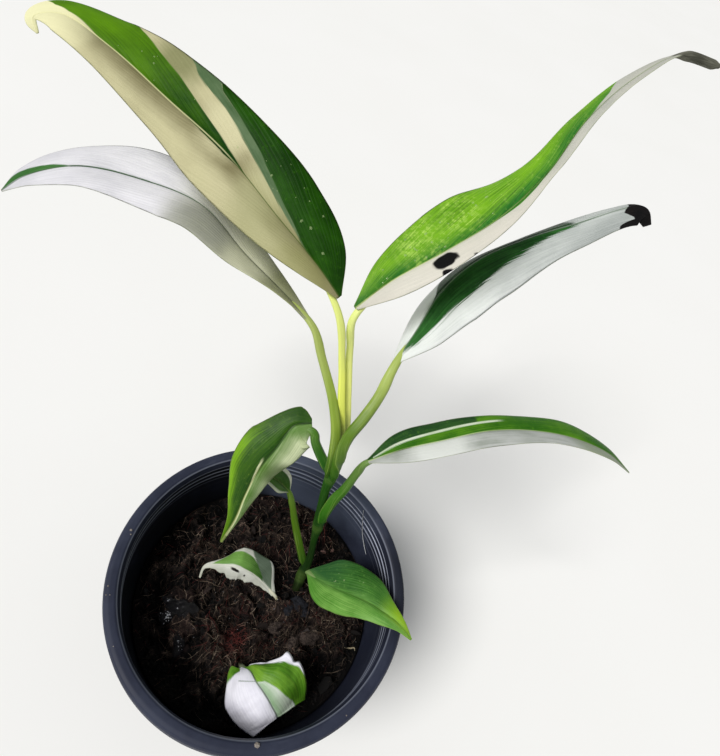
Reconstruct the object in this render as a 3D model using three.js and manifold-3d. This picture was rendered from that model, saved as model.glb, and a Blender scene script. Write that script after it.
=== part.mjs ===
// Potted variegated epipremnum amplissimum: a young climbing plant with seven long pointed
// leaves, one small leaf and two old leaves on the soil, in a round thin-walled nursery pot.
// Millimetres, +Z up. The pot stands on z = 0 with its axis on Z, and -Y is the front.

import * as THREE from 'three';
import { mergeVertices } from 'three/addons/utils/BufferGeometryUtils.js';
import Module from 'manifold-3d';

const wasm = await Module();
wasm.setup();

// Driving dimensions, in millimetres.

const GAP = 0.3;                 // clear distance between pieces that touch

const POT_HEIGHT = 125;
const RIM_OUTER = 75;            // outside of the rolled rim
const RIM_INNER = 68.6;          // mouth of the pot, inside the flat lip
const SKIRT_DROP = 11;           // how far the rim hangs down outside
const SKIRT_WALL = 1.6;
const WALL = 1.5;
const FOOT_OUTER = 52.5;
const FOOT_INNER = 44.5;
const HUB = 24;                  // flat middle of the base, level with the standing ring
const FLOOR_RAISE = 4;           // height of the drainage groove between them
const FLOOR_TOP = 5.5;
const BORE_LOW = 52;             // inside radius at the floor
const BORE_HIGH = 68;            // inside radius under the lip
const RING_COUNT = 3;            // fine moulded steps inside, under the lip
const RING_PITCH = 4.4;
const FIRST_RING = 5.4;          // from the top of the rim down to the first step
const RING_DEPTH = 0.6;
const POT_SIDES = 48;
const DRAIN_COUNT = 8;
const DRAIN_RADIUS = 5;
const DRAIN_CIRCLE = 34.5;

const SOIL_LEVEL = 89;
const SOIL_SIDES = 48;
const SOIL_RINGS = 12;
const SOIL_ROUGHNESS = 0.9;      // height of the fine unevenness

const BLADE_THICKNESS = 0.8;
const BLADE_STEPS = 15;          // cells along a blade
const BLADE_ACROSS = [-1, -0.72, -0.36, 0, 0.36, 0.72, 1];
const RIB_END = 0.84;            // where the midrib fades out, as a part of the blade
const RIB_TIP_RADIUS = 0.45;
const PETIOLE_SIDES = 7;
const STEM_SIDES = 10;

// Clods and husk chips in the surface of the mix: x, y, radius, height.
const CLODS = [
  [-36, -8, 11, 4.5], [-27, 9, 8, 3.0], [27, -10, 10, 3.5], [32, -22, 9, 3.0], [22, 4, 7, 3.0],
  [-14, -28, 12, 2.5], [3, -20, 9, 2.0], [-6, 40, 13, 5.0], [14, 47, 9, 4.0], [40, 22, 9, 3.5],
  [50, 2, 7, 3.0], [-46, 22, 9, 3.0], [-26, 34, 11, 3.5], [-50, -16, 8, -3.0], [-34, -38, 12, -3.5],
  [4, 12, 9, -2.0], [46, -26, 9, -2.5], [-8, -48, 10, -2.5],
];

// Stem, from below the surface to the shoot tip: x, y, z, radius.
const STEM = [
  [19.5, 11, 60, 2.4], [18.8, 14.5, 86, 2.5], [17.9, 20.5, 95, 3.1], [17.8, 25.2, 106, 2.2],
  [14.2, 29, 130, 2.0], [13.2, 30.3, 139, 2.9], [10.2, 33, 155, 2.3], [8, 35, 170, 2.3],
  [7.6, 35.4, 181, 2.9], [7.6, 35, 190, 2.4], [7.4, 35.6, 197, 1.2],
];

// Each leaf: the petiole's route (x, y, z, radius) from the stem to the blade, then the blade's
// stations: place along it from 0 to 1, midrib x, y, z, half width on the left and on the right
// as seen from the stem. up is the side that the blade faces; twist (degrees) turns it about
// its midrib and fold (degrees) lifts both halves, each at the base, the middle and the tip.
// cup bends the halves down towards their edges, and waves is the number of edge waves.
// The bent old leaf has a curve for each margin instead (near and far: place, x, y, z), and swell
// lifts its halves between midrib and margin, in millimetres.
const LEAVES = {
  leaf_upper_left: {
    petiole: [[5.8, 37.8, 186, 1.9], [4.6, 38.4, 199, 2.0], [2.2, 41.4, 210.5, 1.9],
      [-2, 44.9, 221, 1.7], [-8.9, 50.6, 239, 1.5], [-18.5, 54.9, 261, 1.4]],
    blade: [[0, -20, 56, 267, 1.2, 1.2], [0.08, -32, 61, 272, 7.7, 12.9],
      [0.22, -53, 68, 279, 13.6, 19.1], [0.4, -81, 78, 288, 17.3, 18.3],
      [0.58, -110, 86, 293, 13, 17.9], [0.76, -140, 94, 298, 10.8, 14.2],
      [0.88, -162, 98, 299, 8.6, 8.2], [0.95, -172, 95, 295, 2, 5.3],
      [1, -169, 92, 291, 0.6, 0.6]],
    up: [0.25, -0.62, 0.74], twist: [9, -11, 33], fold: [12, 8, 4], cup: 0.1, waves: 3,
  },
  leaf_lower_left: {
    petiole: [[5.4, 33, 184, 1.8], [3.7, 33.4, 201.8, 2.2], [0.2, 37.4, 214, 2.1],
      [-6, 44, 222.7, 2.0], [-17.8, 52.5, 235.4, 1.8], [-26, 57.6, 244.5, 1.5]],
    blade: [[0, -29, 59, 246, 1.2, 1.2], [0.1, -43, 64, 249, 4.7, 4.6],
      [0.25, -65, 72, 252, 10.9, 9], [0.42, -90, 81, 258, 15.6, 12.5],
      [0.6, -119, 82, 256, 14, 15], [0.78, -147, 78, 251, 12.3, 10.7],
      [0.92, -165, 68, 242, 5.9, 6], [1, -172, 61, 235, 0.6, 0.6]],
    up: [0.1, -0.2, 0.97], twist: [22, -9, 8], fold: [14, 8, 4], cup: 0.05, waves: 3,
  },
  leaf_upper_right: {
    petiole: [[9.4, 37.6, 187, 1.6], [6.9, 41, 198.5, 1.8], [4.3, 44.7, 207.4, 1.8],
      [-2.1, 50.2, 225.4, 1.6], [-8.9, 55.7, 244.8, 1.5], [-12.2, 58, 259, 1.5]],
    blade: [[0, -13, 59, 263, 1.2, 1.2], [0.1, -5, 73, 271, 10, 8.3],
      [0.24, 10, 91, 283, 18.4, 10.2], [0.38, 24, 111, 295, 18.6, 7.4],
      [0.52, 34, 134, 309, 10.4, 4.6], [0.66, 40, 159, 324, 6.8, 5.3],
      [0.8, 52, 185, 338, 4.7, 5.4], [0.91, 67, 204, 348, 2, 3.4],
      [1, 86, 212, 349, 1.4, 1.4]],
    up: [-0.1, -0.2, 0.97], twist: [20, -25, -34], fold: [14, 12, 8], cup: 0.05, waves: 4,
  },
  leaf_middle_right: {
    petiole: [[8.8, 32.6, 184, 2.0], [6.6, 32.4, 203, 2.6], [6.2, 35.4, 216, 2.5],
      [8.7, 42.4, 224, 2.5], [10.6, 51, 231.4, 2.3], [10.8, 59.5, 239.6, 2.0]],
    blade: [[0, 10, 62, 242, 1.6, 1.6], [0.12, 13, 77, 250, 7.8, 11],
      [0.26, 16, 96, 260, 8.4, 18.6], [0.42, 26, 116, 270, 10.6, 19.2],
      [0.58, 43, 136, 278, 12.6, 15.4], [0.74, 63, 156, 285, 10.6, 10.8],
      [0.86, 79.5, 172.2, 291.3, 6.8, 8.6], [0.93, 88.5, 180, 293.2, 5, 8.8],
      [0.97, 94.2, 181.8, 291.4, 4, 7.2], [1, 98.4, 180.4, 286.9, 2.6, 3.6]],
    up: [0, 0, 1], twist: [-28, -15, 13], fold: [-20, -36, -36], cup: 0.1, waves: 3,
  },
  leaf_right: {
    petiole: [[13.4, 30.2, 141, 2.2], [13, 31, 155, 2.6], [14, 33, 166.6, 2.5],
      [15.8, 34.4, 177, 2.3], [17.4, 36.4, 195, 1.8], [18.4, 37, 201.5, 1.5]],
    blade: [[0, 19, 37, 204, 1.2, 1.2], [0.12, 30, 47, 208, 7.8, 7.4],
      [0.28, 46, 59, 212, 9.6, 9.6], [0.45, 65, 73, 216, 8.4, 10],
      [0.62, 87, 85, 217, 8.8, 9.2], [0.78, 110, 94, 215, 8.7, 7.5],
      [0.9, 130, 98, 211, 5.1, 5.5], [1, 146, 99, 204, 0.6, 0.6]],
    up: [0, -0.05, 1], twist: [-1, -12, -19], fold: [14, 10, 6], cup: 0.05, waves: 3,
  },
  leaf_left: {
    petiole: [[6.4, 36.6, 179, 2.0], [2.4, 38.8, 183.4, 2.4], [-1.5, 40.3, 187, 2.4],
      [-5.6, 41.8, 191.6, 2.2], [-8.8, 43.8, 196, 1.9]],
    blade: [[0, -11, 46, 199, 4.2, 1.2], [0.05, -13.9, 44.6, 198.4, 9.2, 4.4],
      [0.13, -18, 42, 197, 12.4, 8.6],
      [0.3, -21, 33, 189, 11.8, 14.2], [0.48, -24, 24, 179, 8.6, 13.8],
      [0.66, -25, 16, 167, 5.6, 8.9], [0.84, -25, 8, 154, 2, 4.1],
      [1, -27, 1, 140, 0.6, 0.6]],
    up: [-0.1, -0.45, 0.88], twist: [-9, -22, -14], fold: [-4, -10, -6], cup: 0.1, waves: 2,
  },
  leaf_lower_right: {
    petiole: [[17.9, 21.2, 95.5, 1.7], [18.8, 21.4, 98.8, 1.6]],
    blade: [[0, 20, 21, 100.5, 1.2, 1.2], [0.15, 30, 16, 109, 13.6, 10.5],
      [0.32, 40, 13, 118, 16.6, 12.2], [0.5, 51, 11, 125, 14.8, 11.2],
      [0.68, 61, 8, 130, 8.5, 7.7], [0.85, 71, 5, 131, 3.9, 3.9], [1, 79, 1, 130, 0.6, 0.6]],
    up: [0, 0, 1], twist: [29, -1, -2], fold: [8, 4, 3], cup: 0.08, waves: 2,
  },
  leaf_small: {
    petiole: [[17.6, 23.4, 99, 2.1], [14.6, 24.6, 104, 2.2], [10.5, 26.4, 112, 2.1],
      [1.7, 30.7, 129.6, 1.9], [-4.2, 33.9, 142.7, 1.6], [-7.6, 35.2, 149, 1.4]],
    blade: [[0, -8.4, 35.4, 150.6, 1.2, 1.2], [0.2, -13, 34, 157, 5.2, 6.4],
      [0.45, -19, 32, 163, 4.2, 7.5], [0.72, -25, 31, 166, 3, 5],
      [1, -31, 31, 165, 0.6, 0.6]],
    up: [0.2, -0.4, 0.89], twist: [0, 0, 0], fold: [22, 18, 10], cup: 0.05, waves: 1,
  },
  old_leaf_small: {
    petiole: [[11, 3.2, 91.2, 1.7], [9, 3.8, 93, 1.3]],
    blade: [[0, 8, 4, 93.4, 1.2, 1.4], [0.08, 4.6, 5, 94.8, 1.8, 4.6],
      [0.2, -1, 6.2, 97.6, 3, 11.6], [0.32, -6.8, 6.8, 100.9, 5.6, 11.2],
      [0.42, -11.5, 6.5, 102.8, 6.9, 11.4], [0.52, -16.5, 5.6, 103.6, 8.4, 10.9],
      [0.58, -19.8, 5.1, 103.2, 7.6, 9.1], [0.64, -23, 4.5, 102.4, 5.3, 5.2],
      [0.84, -32.5, 0.8, 98, 1.4, 1], [1, -32.8, -4, 92, 0.6, 0.6]],
    up: [0, -0.2, 1], twist: [4, -17, 28], fold: [-10, -25, -20], cup: 0.1, waves: 1,
  },
  old_leaf_front: {
    petiole: [[7.2, -32.6, 83, 1.4], [7.6, -33.8, 91, 1.3], [8.6, -35.3, 97, 1.2]],
    blade: [[0, 8.8, -35.5, 99, 3, 3], [0.12, 12.4, -36.4, 104, 9, 9],
      [0.3, 17.4, -40.7, 109, 15, 17], [0.5, 22.6, -43.8, 110.2, 17, 20],
      [0.65, 26, -45.6, 109.4, 19, 19], [0.8, 29.4, -47.4, 107, 20, 19],
      [0.92, 32.2, -48.6, 104.6, 18, 17], [1, 33.2, -49.1, 103, 16, 16]],
    near: [[0, 7.5, -37.6, 98], [0.05, 3.5, -37, 98.5], [0.1, 3.2, -40.6, 98],
      [0.16, 4.9, -45.2, 98], [0.3, 8, -52.7, 97.5], [0.5, 12.9, -56.4, 96],
      [0.65, 17.6, -58.4, 95.6], [0.8, 22, -59.3, 97], [0.92, 24.8, -59.9, 98.6],
      [1, 26.6, -60, 100]],
    far: [[0, 10.6, -36, 100], [0.06, 11.3, -33.7, 102], [0.14, 14.2, -32.2, 104.7],
      [0.25, 18.5, -30.4, 107.8], [0.45, 23.8, -26.2, 112.2], [0.53, 25.3, -23.8, 113.4],
      [0.6, 28.5, -25.3, 113.9], [0.65, 30.4, -26.5, 113], [0.69, 32.4, -25.7, 113.6],
      [0.76, 35.2, -27.1, 112.5], [0.84, 38.4, -29.9, 110.3], [0.92, 41.2, -33.2, 107],
      [1, 43.2, -36.4, 101]],
    up: [0, 0, 1], twist: [8, 26, 26], swell: [2.6, 2.4],
  },
};

const COLOURS = {
  pot: [0x2a2f3f, 0.5],
  soil: [0x2b221c, 0.95],
  stem: [0x6f9a3c, 0.5],
  leaf_upper_left: [0x7fa04b, 0.4],
  leaf_lower_left: [0xd9dccb, 0.45],
  leaf_upper_right: [0x5d9a22, 0.4],
  leaf_middle_right: [0x44683c, 0.4],
  leaf_right: [0x4f7f35, 0.4],
  leaf_left: [0x5f8f3f, 0.4],
  leaf_lower_right: [0x4b7f3d, 0.4],
  leaf_small: [0xa9bf7c, 0.45],
  old_leaf_small: [0x8fae74, 0.55],
  old_leaf_front: [0xb9c9ae, 0.5],
};

// Smooth curves through rows of numbers.

const mix = (a, b, t) => a + (b - a) * t;
const vec = (row, at = 0) => new THREE.Vector3(row[at], row[at + 1], row[at + 2]);

// A smooth value through the rows' column, with the mean slope of the neighbouring spans.
function along(rows, place, column, t) {
  const last = rows.length - 1;
  let i = 0;
  while (i < last - 1 && t > place[i + 1]) i += 1;
  const slope = (k) => (rows[k + 1][column] - rows[k][column]) / (place[k + 1] - place[k]);
  const tangent = (k) => (k === 0 ? slope(0) : k === last ? slope(last - 1)
    : (slope(k - 1) + slope(k)) / 2);
  const h = place[i + 1] - place[i];
  const q = (t - place[i]) / h;
  return (2 * q ** 3 - 3 * q ** 2 + 1) * rows[i][column] + (q ** 3 - 2 * q ** 2 + q) * h * tangent(i)
    + (3 * q ** 2 - 2 * q ** 3) * rows[i + 1][column] + (q ** 3 - q ** 2) * h * tangent(i + 1);
}

// Places of a route's rows, from 0 to 1 by the distance between them.
function places(rows) {
  const at = [0];
  for (let i = 1; i < rows.length; i += 1) at.push(at[i - 1] + vec(rows[i]).distanceTo(vec(rows[i - 1])));
  return at.map((d) => d / at[at.length - 1]);
}

const threeWay = (values, t) => (t < 0.5 ? mix(values[0], values[1], t * 2)
  : mix(values[1], values[2], t * 2 - 1)) * Math.PI / 180;

// Leaf blades.

// Midrib point, tangent, left and normal at place t of a leaf.
function ribFrame(leaf, t) {
  const place = leaf.blade.map((row) => row[0]);
  const point = (q) => new THREE.Vector3(...[1, 2, 3].map((c) => along(leaf.blade, place, c, q)));
  const tangent = point(Math.min(t + 1e-3, 1)).sub(point(Math.max(t - 1e-3, 0))).normalize();
  const flatLeft = vec(leaf.up).cross(tangent).normalize();
  const twist = threeWay(leaf.twist, t);
  const left = flatLeft.clone().applyAxisAngle(tangent, twist);
  return { point: point(t), tangent, left, normal: tangent.clone().cross(left), place };
}

// Middle surface of the bent old leaf, spanned from its midrib to a curve for each margin.
function archedPoint(leaf, t, u) {
  const on = (rows, q) => {
    const place = rows.map((row) => row[0]);
    return new THREE.Vector3(...[1, 2, 3].map((c) => along(rows, place, c, q)));
  };
  const far = on(leaf.far, t);
  const near = on(leaf.near, t);
  const q = Math.min(t + 0.02, 1);
  const ahead = on(leaf.blade, q).sub(on(leaf.blade, q - 0.04));
  const normal = ahead.cross(far.clone().sub(near)).normalize();
  const grow = Math.min(t / 0.3, 1);
  const swell = leaf.swell[u > 0 ? 0 : 1] * Math.sin(Math.PI * Math.abs(u)) * grow * grow
    * (3 - 2 * grow);
  return on(leaf.blade, t).lerp(u > 0 ? far : near, Math.abs(u)).addScaledVector(normal, swell);
}

// Middle surface of a blade: t along it, u across from -1 (right edge) to 1 (left edge).
function bladePoint(leaf, t, u) {
  if (leaf.near) return archedPoint(leaf, t, u);
  const { point, left, normal, place } = ribFrame(leaf, t);
  const width = Math.max(along(leaf.blade, place, u > 0 ? 4 : 5, t), 0.3);
  const side = Math.abs(u) * width;
  const fold = threeWay(leaf.fold, t);
  const wave = 0.05 * width * u * u * Math.sin(2 * Math.PI * leaf.waves * t + (u > 0 ? 0 : 1.9))
    * Math.sin(Math.PI * t);
  return point.addScaledVector(left, Math.sign(u) * side * Math.cos(fold))
    .addScaledVector(normal, side * (Math.sin(fold) - leaf.cup * Math.abs(u)) + wave);
}

// Closed thin blade. Both faces are split along the same diagonals.
function bladeSolid(leaf) {
  const n = BLADE_STEPS;
  const m = BLADE_ACROSS.length;
  const positions = [];
  for (const face of [1, -1]) {
    for (let i = 0; i <= n; i += 1) {
      const t = i / n;
      for (const u of BLADE_ACROSS) {
        const e = 0.02;
        const t0 = Math.max(t - e, 0);
        const t1 = Math.min(t + e, 1);
        const u0 = Math.max(u - e, -1);
        const u1 = Math.min(u + e, 1);
        const dt = bladePoint(leaf, t1, u).sub(bladePoint(leaf, t0, u));
        const du = bladePoint(leaf, t, u1).sub(bladePoint(leaf, t, u0));
        const out = dt.cross(du).normalize().multiplyScalar(face * BLADE_THICKNESS / 2);
        positions.push(...bladePoint(leaf, t, u).add(out).toArray());
      }
    }
  }
  const id = (face, i, j) => face * (n + 1) * m + i * m + j;
  const index = [];
  const quad = (a, b, c, d) => index.push(a, b, c, a, c, d);
  for (let i = 0; i < n; i += 1) {
    for (let j = 0; j < m - 1; j += 1) {
      const corner = (f) => [id(f, i, j), id(f, i + 1, j), id(f, i + 1, j + 1), id(f, i, j + 1)];
      const [a, b, c, d] = corner(0);
      quad(a, b, c, d);
      const [e, f, g, h] = corner(1);
      index.push(e, g, f, e, h, g);
    }
    quad(id(0, i + 1, 0), id(0, i, 0), id(1, i, 0), id(1, i + 1, 0));
    quad(id(0, i, m - 1), id(0, i + 1, m - 1), id(1, i + 1, m - 1), id(1, i, m - 1));
  }
  for (let j = 0; j < m - 1; j += 1) {
    quad(id(0, 0, j), id(0, 0, j + 1), id(1, 0, j + 1), id(1, 0, j));
    quad(id(0, n, j + 1), id(0, n, j), id(1, n, j), id(1, n, j + 1));
  }
  return solid(positions, index);
}

// Round stalks: petioles, midribs and the stem.

// Closed round tube through centres with their radii, its section carried along without twist.
function tube(centres, radii, sides) {
  const positions = [];
  const index = [];
  const count = centres.length;
  const direction = (i) => centres[Math.min(i + 1, count - 1)].clone()
    .sub(centres[Math.max(i - 1, 0)]).normalize();
  const start = direction(0);
  let across = new THREE.Vector3(1, 0, 0).addScaledVector(start, -start.x).normalize();
  for (let i = 0; i < count; i += 1) {
    const d = direction(i);
    across = across.clone().addScaledVector(d, -across.dot(d)).normalize();
    const other = d.clone().cross(across);
    for (let k = 0; k < sides; k += 1) {
      const angle = 2 * Math.PI * k / sides;
      positions.push(...centres[i].clone().addScaledVector(across, radii[i] * Math.cos(angle))
        .addScaledVector(other, radii[i] * Math.sin(angle)).toArray());
    }
  }
  for (let i = 0; i < count - 1; i += 1) {
    for (let k = 0; k < sides; k += 1) {
      const a = i * sides + k;
      const b = i * sides + (k + 1) % sides;
      index.push(a, b, b + sides, a, b + sides, a + sides);
    }
  }
  for (let k = 1; k < sides - 1; k += 1) {
    const top = (count - 1) * sides;
    index.push(0, k + 1, k, top, top + k, top + k + 1);
  }
  return solid(positions, index);
}

// A stalk through rows of x, y, z, radius, with extra radius where clearance is cut.
function stalk(rows, steps, sides, extra = 0) {
  const place = places(rows);
  const centres = [];
  const radii = [];
  for (let i = 0; i <= steps; i += 1) {
    centres.push(new THREE.Vector3(...[0, 1, 2].map((c) => along(rows, place, c, i / steps))));
    radii.push(along(rows, place, 3, i / steps) + extra);
  }
  return tube(centres, radii, sides);
}

// Petiole and midrib as one stalk: along the petiole, then just under the blade.
function petioleAndRib(leaf) {
  const ribRows = [];
  const baseRadius = leaf.petiole[leaf.petiole.length - 1][3];
  for (let i = 1; i <= 6; i += 1) {
    const t = RIB_END * i / 6;
    const { point, normal } = ribFrame(leaf, t);
    const radius = mix(baseRadius, RIB_TIP_RADIUS, Math.sqrt(i / 6));
    point.addScaledVector(normal, -0.5 * radius);
    ribRows.push([point.x, point.y, point.z, radius]);
  }
  const rows = [...leaf.petiole, ...ribRows];
  return stalk(rows, 2 * (rows.length - 1), PETIOLE_SIDES);
}

// Solids and clearances.

function solid(positions, index) {
  const mesh = new wasm.Mesh({
    numProp: 3,
    vertProperties: new Float32Array(positions),
    triVerts: new Uint32Array(index),
  });
  return new wasm.Manifold(mesh);
}

function fromGeometry(geometry) {
  geometry.deleteAttribute('normal');
  geometry.deleteAttribute('uv');
  const merged = mergeVertices(geometry, 1e-3);
  return solid(Array.from(merged.attributes.position.array), Array.from(merged.index.array));
}

// The biggest of a cut solid's bodies, so that no loose scrap is left.
function main(body) {
  const pieces = body.decompose();
  return pieces.reduce((best, piece) => (piece.volume() > best.volume() ? piece : best));
}

function toMesh(name, body) {
  const data = body.getMesh();
  const geometry = new THREE.BufferGeometry();
  geometry.setAttribute('position', new THREE.BufferAttribute(new Float32Array(data.vertProperties), 3));
  geometry.setIndex(Array.from(data.triVerts));
  const [colour, roughness] = COLOURS[name];
  const material = new THREE.MeshStandardMaterial({
    color: colour, roughness, metalness: 0, side: THREE.FrontSide,
  });
  material.name = name;
  const mesh = new THREE.Mesh(geometry, material);
  mesh.name = name;
  return mesh;
}

// Pot.

const boreRadius = (z) => mix(BORE_LOW, BORE_HIGH, (z - FLOOR_TOP) / (110 - FLOOR_TOP));

function pot() {
  const skirtLow = POT_HEIGHT - SKIRT_DROP;
  const wallTop = POT_HEIGHT - 2.6;
  const profile = [
    [0, 0], [HUB, 0], [HUB + 1.5, FLOOR_RAISE], [FOOT_INNER - 1.5, FLOOR_RAISE],
    [FOOT_INNER, 0], [FOOT_OUTER - 1, 0],
    [FOOT_OUTER + 0.6, 1.6], [boreRadius(110) + WALL, 110], [BORE_HIGH + WALL + 0.3, wallTop],
    [RIM_OUTER - SKIRT_WALL, wallTop], [RIM_OUTER - SKIRT_WALL, skirtLow],
    [RIM_OUTER - 0.2, skirtLow], [RIM_OUTER, skirtLow + 1], [RIM_OUTER, POT_HEIGHT - 2.2],
    [RIM_OUTER - 0.9, POT_HEIGHT - 0.5], [RIM_OUTER - 2.6, POT_HEIGHT],
    [RIM_INNER + 1.2, POT_HEIGHT - 0.2], [RIM_INNER, POT_HEIGHT - 1.2],
    [RIM_INNER - 0.2, POT_HEIGHT - 3],
  ];
  for (let i = 0; i < RING_COUNT; i += 1) {
    const z = POT_HEIGHT - FIRST_RING - i * RING_PITCH;
    profile.push([BORE_HIGH - RING_DEPTH + 0.2, z], [BORE_HIGH + 0.2, z - RING_PITCH + 0.6]);
  }
  profile.push([BORE_LOW, FLOOR_TOP], [0, FLOOR_TOP]);
  const shell = new THREE.LatheGeometry(profile.map(([r, z]) => new THREE.Vector2(r, z)), POT_SIDES);
  shell.rotateX(Math.PI / 2);
  let body = fromGeometry(shell);
  for (let i = 0; i < DRAIN_COUNT; i += 1) {
    const angle = 2 * Math.PI * (i + 0.5) / DRAIN_COUNT;
    const place = [DRAIN_CIRCLE * Math.cos(angle), DRAIN_CIRCLE * Math.sin(angle), FLOOR_TOP];
    body = body.subtract(wasm.Manifold.cylinder(20, DRAIN_RADIUS, DRAIN_RADIUS, 14, true)
      .translate(place));
  }
  return body;
}

// Soil.

// Height of the mix: level ground with clods, hollows and a fine unevenness that fades out
// at the wall.
function soilHeight(x, y) {
  let z = SOIL_LEVEL;
  for (const [cx, cy, radius, height] of CLODS) {
    const q = ((x - cx) ** 2 + (y - cy) ** 2) / radius ** 2;
    z += height * Math.exp(-q * q - 0.5 * q);
  }
  const fine = Math.sin(0.41 * x + 1.3) * Math.sin(0.37 * y + 0.4) + Math.sin(0.23 * x - 0.31 * y);
  return z + SOIL_ROUGHNESS * fine;
}

function soil(lift = 0) {
  const positions = [];
  const index = [];
  const top = SOIL_LEVEL + lift;
  const edge = boreRadius(SOIL_LEVEL - 6) - GAP;
  positions.push(0, 0, soilHeight(0, 0) + lift);
  for (let ring = 1; ring <= SOIL_RINGS; ring += 1) {
    const radius = edge * (ring / SOIL_RINGS) ** 0.9;
    const fade = Math.min(1, (edge - radius) / 5);
    for (let k = 0; k < SOIL_SIDES; k += 1) {
      const angle = 2 * Math.PI * (k + 0.5 * (ring % 2)) / SOIL_SIDES;
      const x = radius * Math.cos(angle);
      const y = radius * Math.sin(angle);
      positions.push(x, y, mix(SOIL_LEVEL - 3, soilHeight(x, y), fade) + lift);
    }
  }
  const low = boreRadius(FLOOR_TOP) - GAP * 1.5;
  const base = positions.length / 3;
  for (let k = 0; k < SOIL_SIDES; k += 1) {
    const angle = 2 * Math.PI * (k + 0.5 * (SOIL_RINGS % 2)) / SOIL_SIDES;
    positions.push(low * Math.cos(angle), low * Math.sin(angle), FLOOR_TOP + GAP);
  }
  positions.push(0, 0, FLOOR_TOP + GAP);
  const id = (ring, k) => 1 + (ring - 1) * SOIL_SIDES + ((k + SOIL_SIDES) % SOIL_SIDES);
  for (let k = 0; k < SOIL_SIDES; k += 1) {
    index.push(0, id(1, k), id(1, k + 1));
    for (let ring = 1; ring < SOIL_RINGS; ring += 1) {
      const [a, b, c, d] = [id(ring, k), id(ring, k + 1), id(ring + 1, k), id(ring + 1, k + 1)];
      if (ring % 2) index.push(a, c, d, a, d, b);
      else index.push(a, c, b, b, c, d);
    }
    const under = (q) => base + ((q + SOIL_SIDES) % SOIL_SIDES);
    index.push(id(SOIL_RINGS, k), under(k), under(k + 1));
    index.push(id(SOIL_RINGS, k), under(k + 1), id(SOIL_RINGS, k + 1));
    index.push(base + SOIL_SIDES, under(k + 1), under(k));
  }
  return { body: solid(positions, index), top };
}

// The whole plant.

const stem = stalk(STEM, 24, STEM_SIDES);
const stemClear = stalk(STEM, 24, STEM_SIDES, GAP);
const ground = soil().body.subtract(stemClear);
const groundClear = soil(GAP).body;

const part = new THREE.Group();
part.name = 'potted_plant';
part.add(toMesh('pot', pot()), toMesh('soil', ground), toMesh('stem', stem));

// Each leaf is cleared of the stem, of the soil and of the petioles made before it.
const taken = [stemClear, groundClear];
for (const [name, leaf] of Object.entries(LEAVES)) {
  let body = petioleAndRib(leaf).add(bladeSolid(leaf));
  for (const other of taken) body = body.subtract(other);
  taken.push(stalk(leaf.petiole, 2 * (leaf.petiole.length - 1), PETIOLE_SIDES, GAP));
  part.add(toMesh(name, main(body)));
}

export default part;
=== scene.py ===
# %% [markdown]
# # A variegated climbing plant in a nursery pot
# This lesson dresses a fixed frame of solids with the finish of the real plant. The frame has a
# thin plastic pot, a bed of potting mix, one stem and ten leaves. Every shape below is worked out
# with numpy as whole arrays of points, in millimetres, and only turned into metres when it
# becomes a mesh.

import bpy
import numpy as np
from mathutils import Matrix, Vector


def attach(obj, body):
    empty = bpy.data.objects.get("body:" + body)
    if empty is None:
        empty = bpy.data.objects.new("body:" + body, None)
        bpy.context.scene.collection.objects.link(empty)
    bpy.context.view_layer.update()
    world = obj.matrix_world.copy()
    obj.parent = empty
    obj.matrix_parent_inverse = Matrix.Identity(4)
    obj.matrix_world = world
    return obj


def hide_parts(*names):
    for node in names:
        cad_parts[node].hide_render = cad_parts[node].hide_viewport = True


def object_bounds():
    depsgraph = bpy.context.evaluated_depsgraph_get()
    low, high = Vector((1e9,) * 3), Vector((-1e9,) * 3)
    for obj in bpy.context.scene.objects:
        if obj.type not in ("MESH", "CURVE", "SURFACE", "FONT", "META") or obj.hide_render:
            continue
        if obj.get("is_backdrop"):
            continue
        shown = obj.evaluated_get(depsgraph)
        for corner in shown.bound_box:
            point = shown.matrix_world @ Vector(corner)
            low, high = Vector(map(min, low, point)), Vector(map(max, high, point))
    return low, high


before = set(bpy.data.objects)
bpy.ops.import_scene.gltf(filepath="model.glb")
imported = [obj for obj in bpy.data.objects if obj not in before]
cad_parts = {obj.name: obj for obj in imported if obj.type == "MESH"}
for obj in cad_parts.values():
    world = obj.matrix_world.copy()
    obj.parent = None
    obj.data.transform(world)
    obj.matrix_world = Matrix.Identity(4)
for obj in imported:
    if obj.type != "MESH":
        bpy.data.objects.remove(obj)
frame_low, frame_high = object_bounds()
print("frame nodes:", ", ".join(sorted(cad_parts)))
print("frame size in mm:", [round(1000 * (b - a), 1) for a, b in zip(frame_low, frame_high)])

# %% [markdown]
# ## Camera
# The plant is seen from close above, as a person does who bends over it with a wide lens. The
# axis looks 49 degrees down and the picture is turned about 25 degrees round that axis, so that
# upright things lean to the right. The matrix is built from three unit vectors: forward, right
# and up. A lens of 25.7 mm on a 36 mm film gives the field of view of the close wide picture.

# %% Camera
scene = bpy.context.scene


def shown(name, data):
    """A new object with that data, linked to the scene."""
    thing = bpy.data.objects.new(name, data)
    scene.collection.objects.link(thing)
    return thing


FILM, LENS, NEAREST, CAMERA_AT = 36, 540 / 756 * 36, 0.01, [0.0, -0.095, 0.404]
look_down, picture_turn = np.radians(49.0), np.radians(25.3)
forward = np.array([0.0, np.cos(look_down), -np.sin(look_down)])
level_right = np.array([1.0, 0.0, 0.0])
level_up = np.cross(level_right, forward)
right = np.cos(picture_turn) * level_right + np.sin(picture_turn) * level_up
up = np.cos(picture_turn) * level_up - np.sin(picture_turn) * level_right
camera_data = bpy.data.cameras.new("camera")
camera_data.lens, camera_data.sensor_width, camera_data.clip_start = LENS, FILM, NEAREST
camera = shown("camera", camera_data)
camera.matrix_world = Matrix([[*row] for row in np.r_[
    np.c_[right, up, -forward, CAMERA_AT], [[0.0, 0.0, 0.0, 1.0]]]])
scene.camera = camera
print("lens in mm:", round(camera_data.lens, 2))

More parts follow.
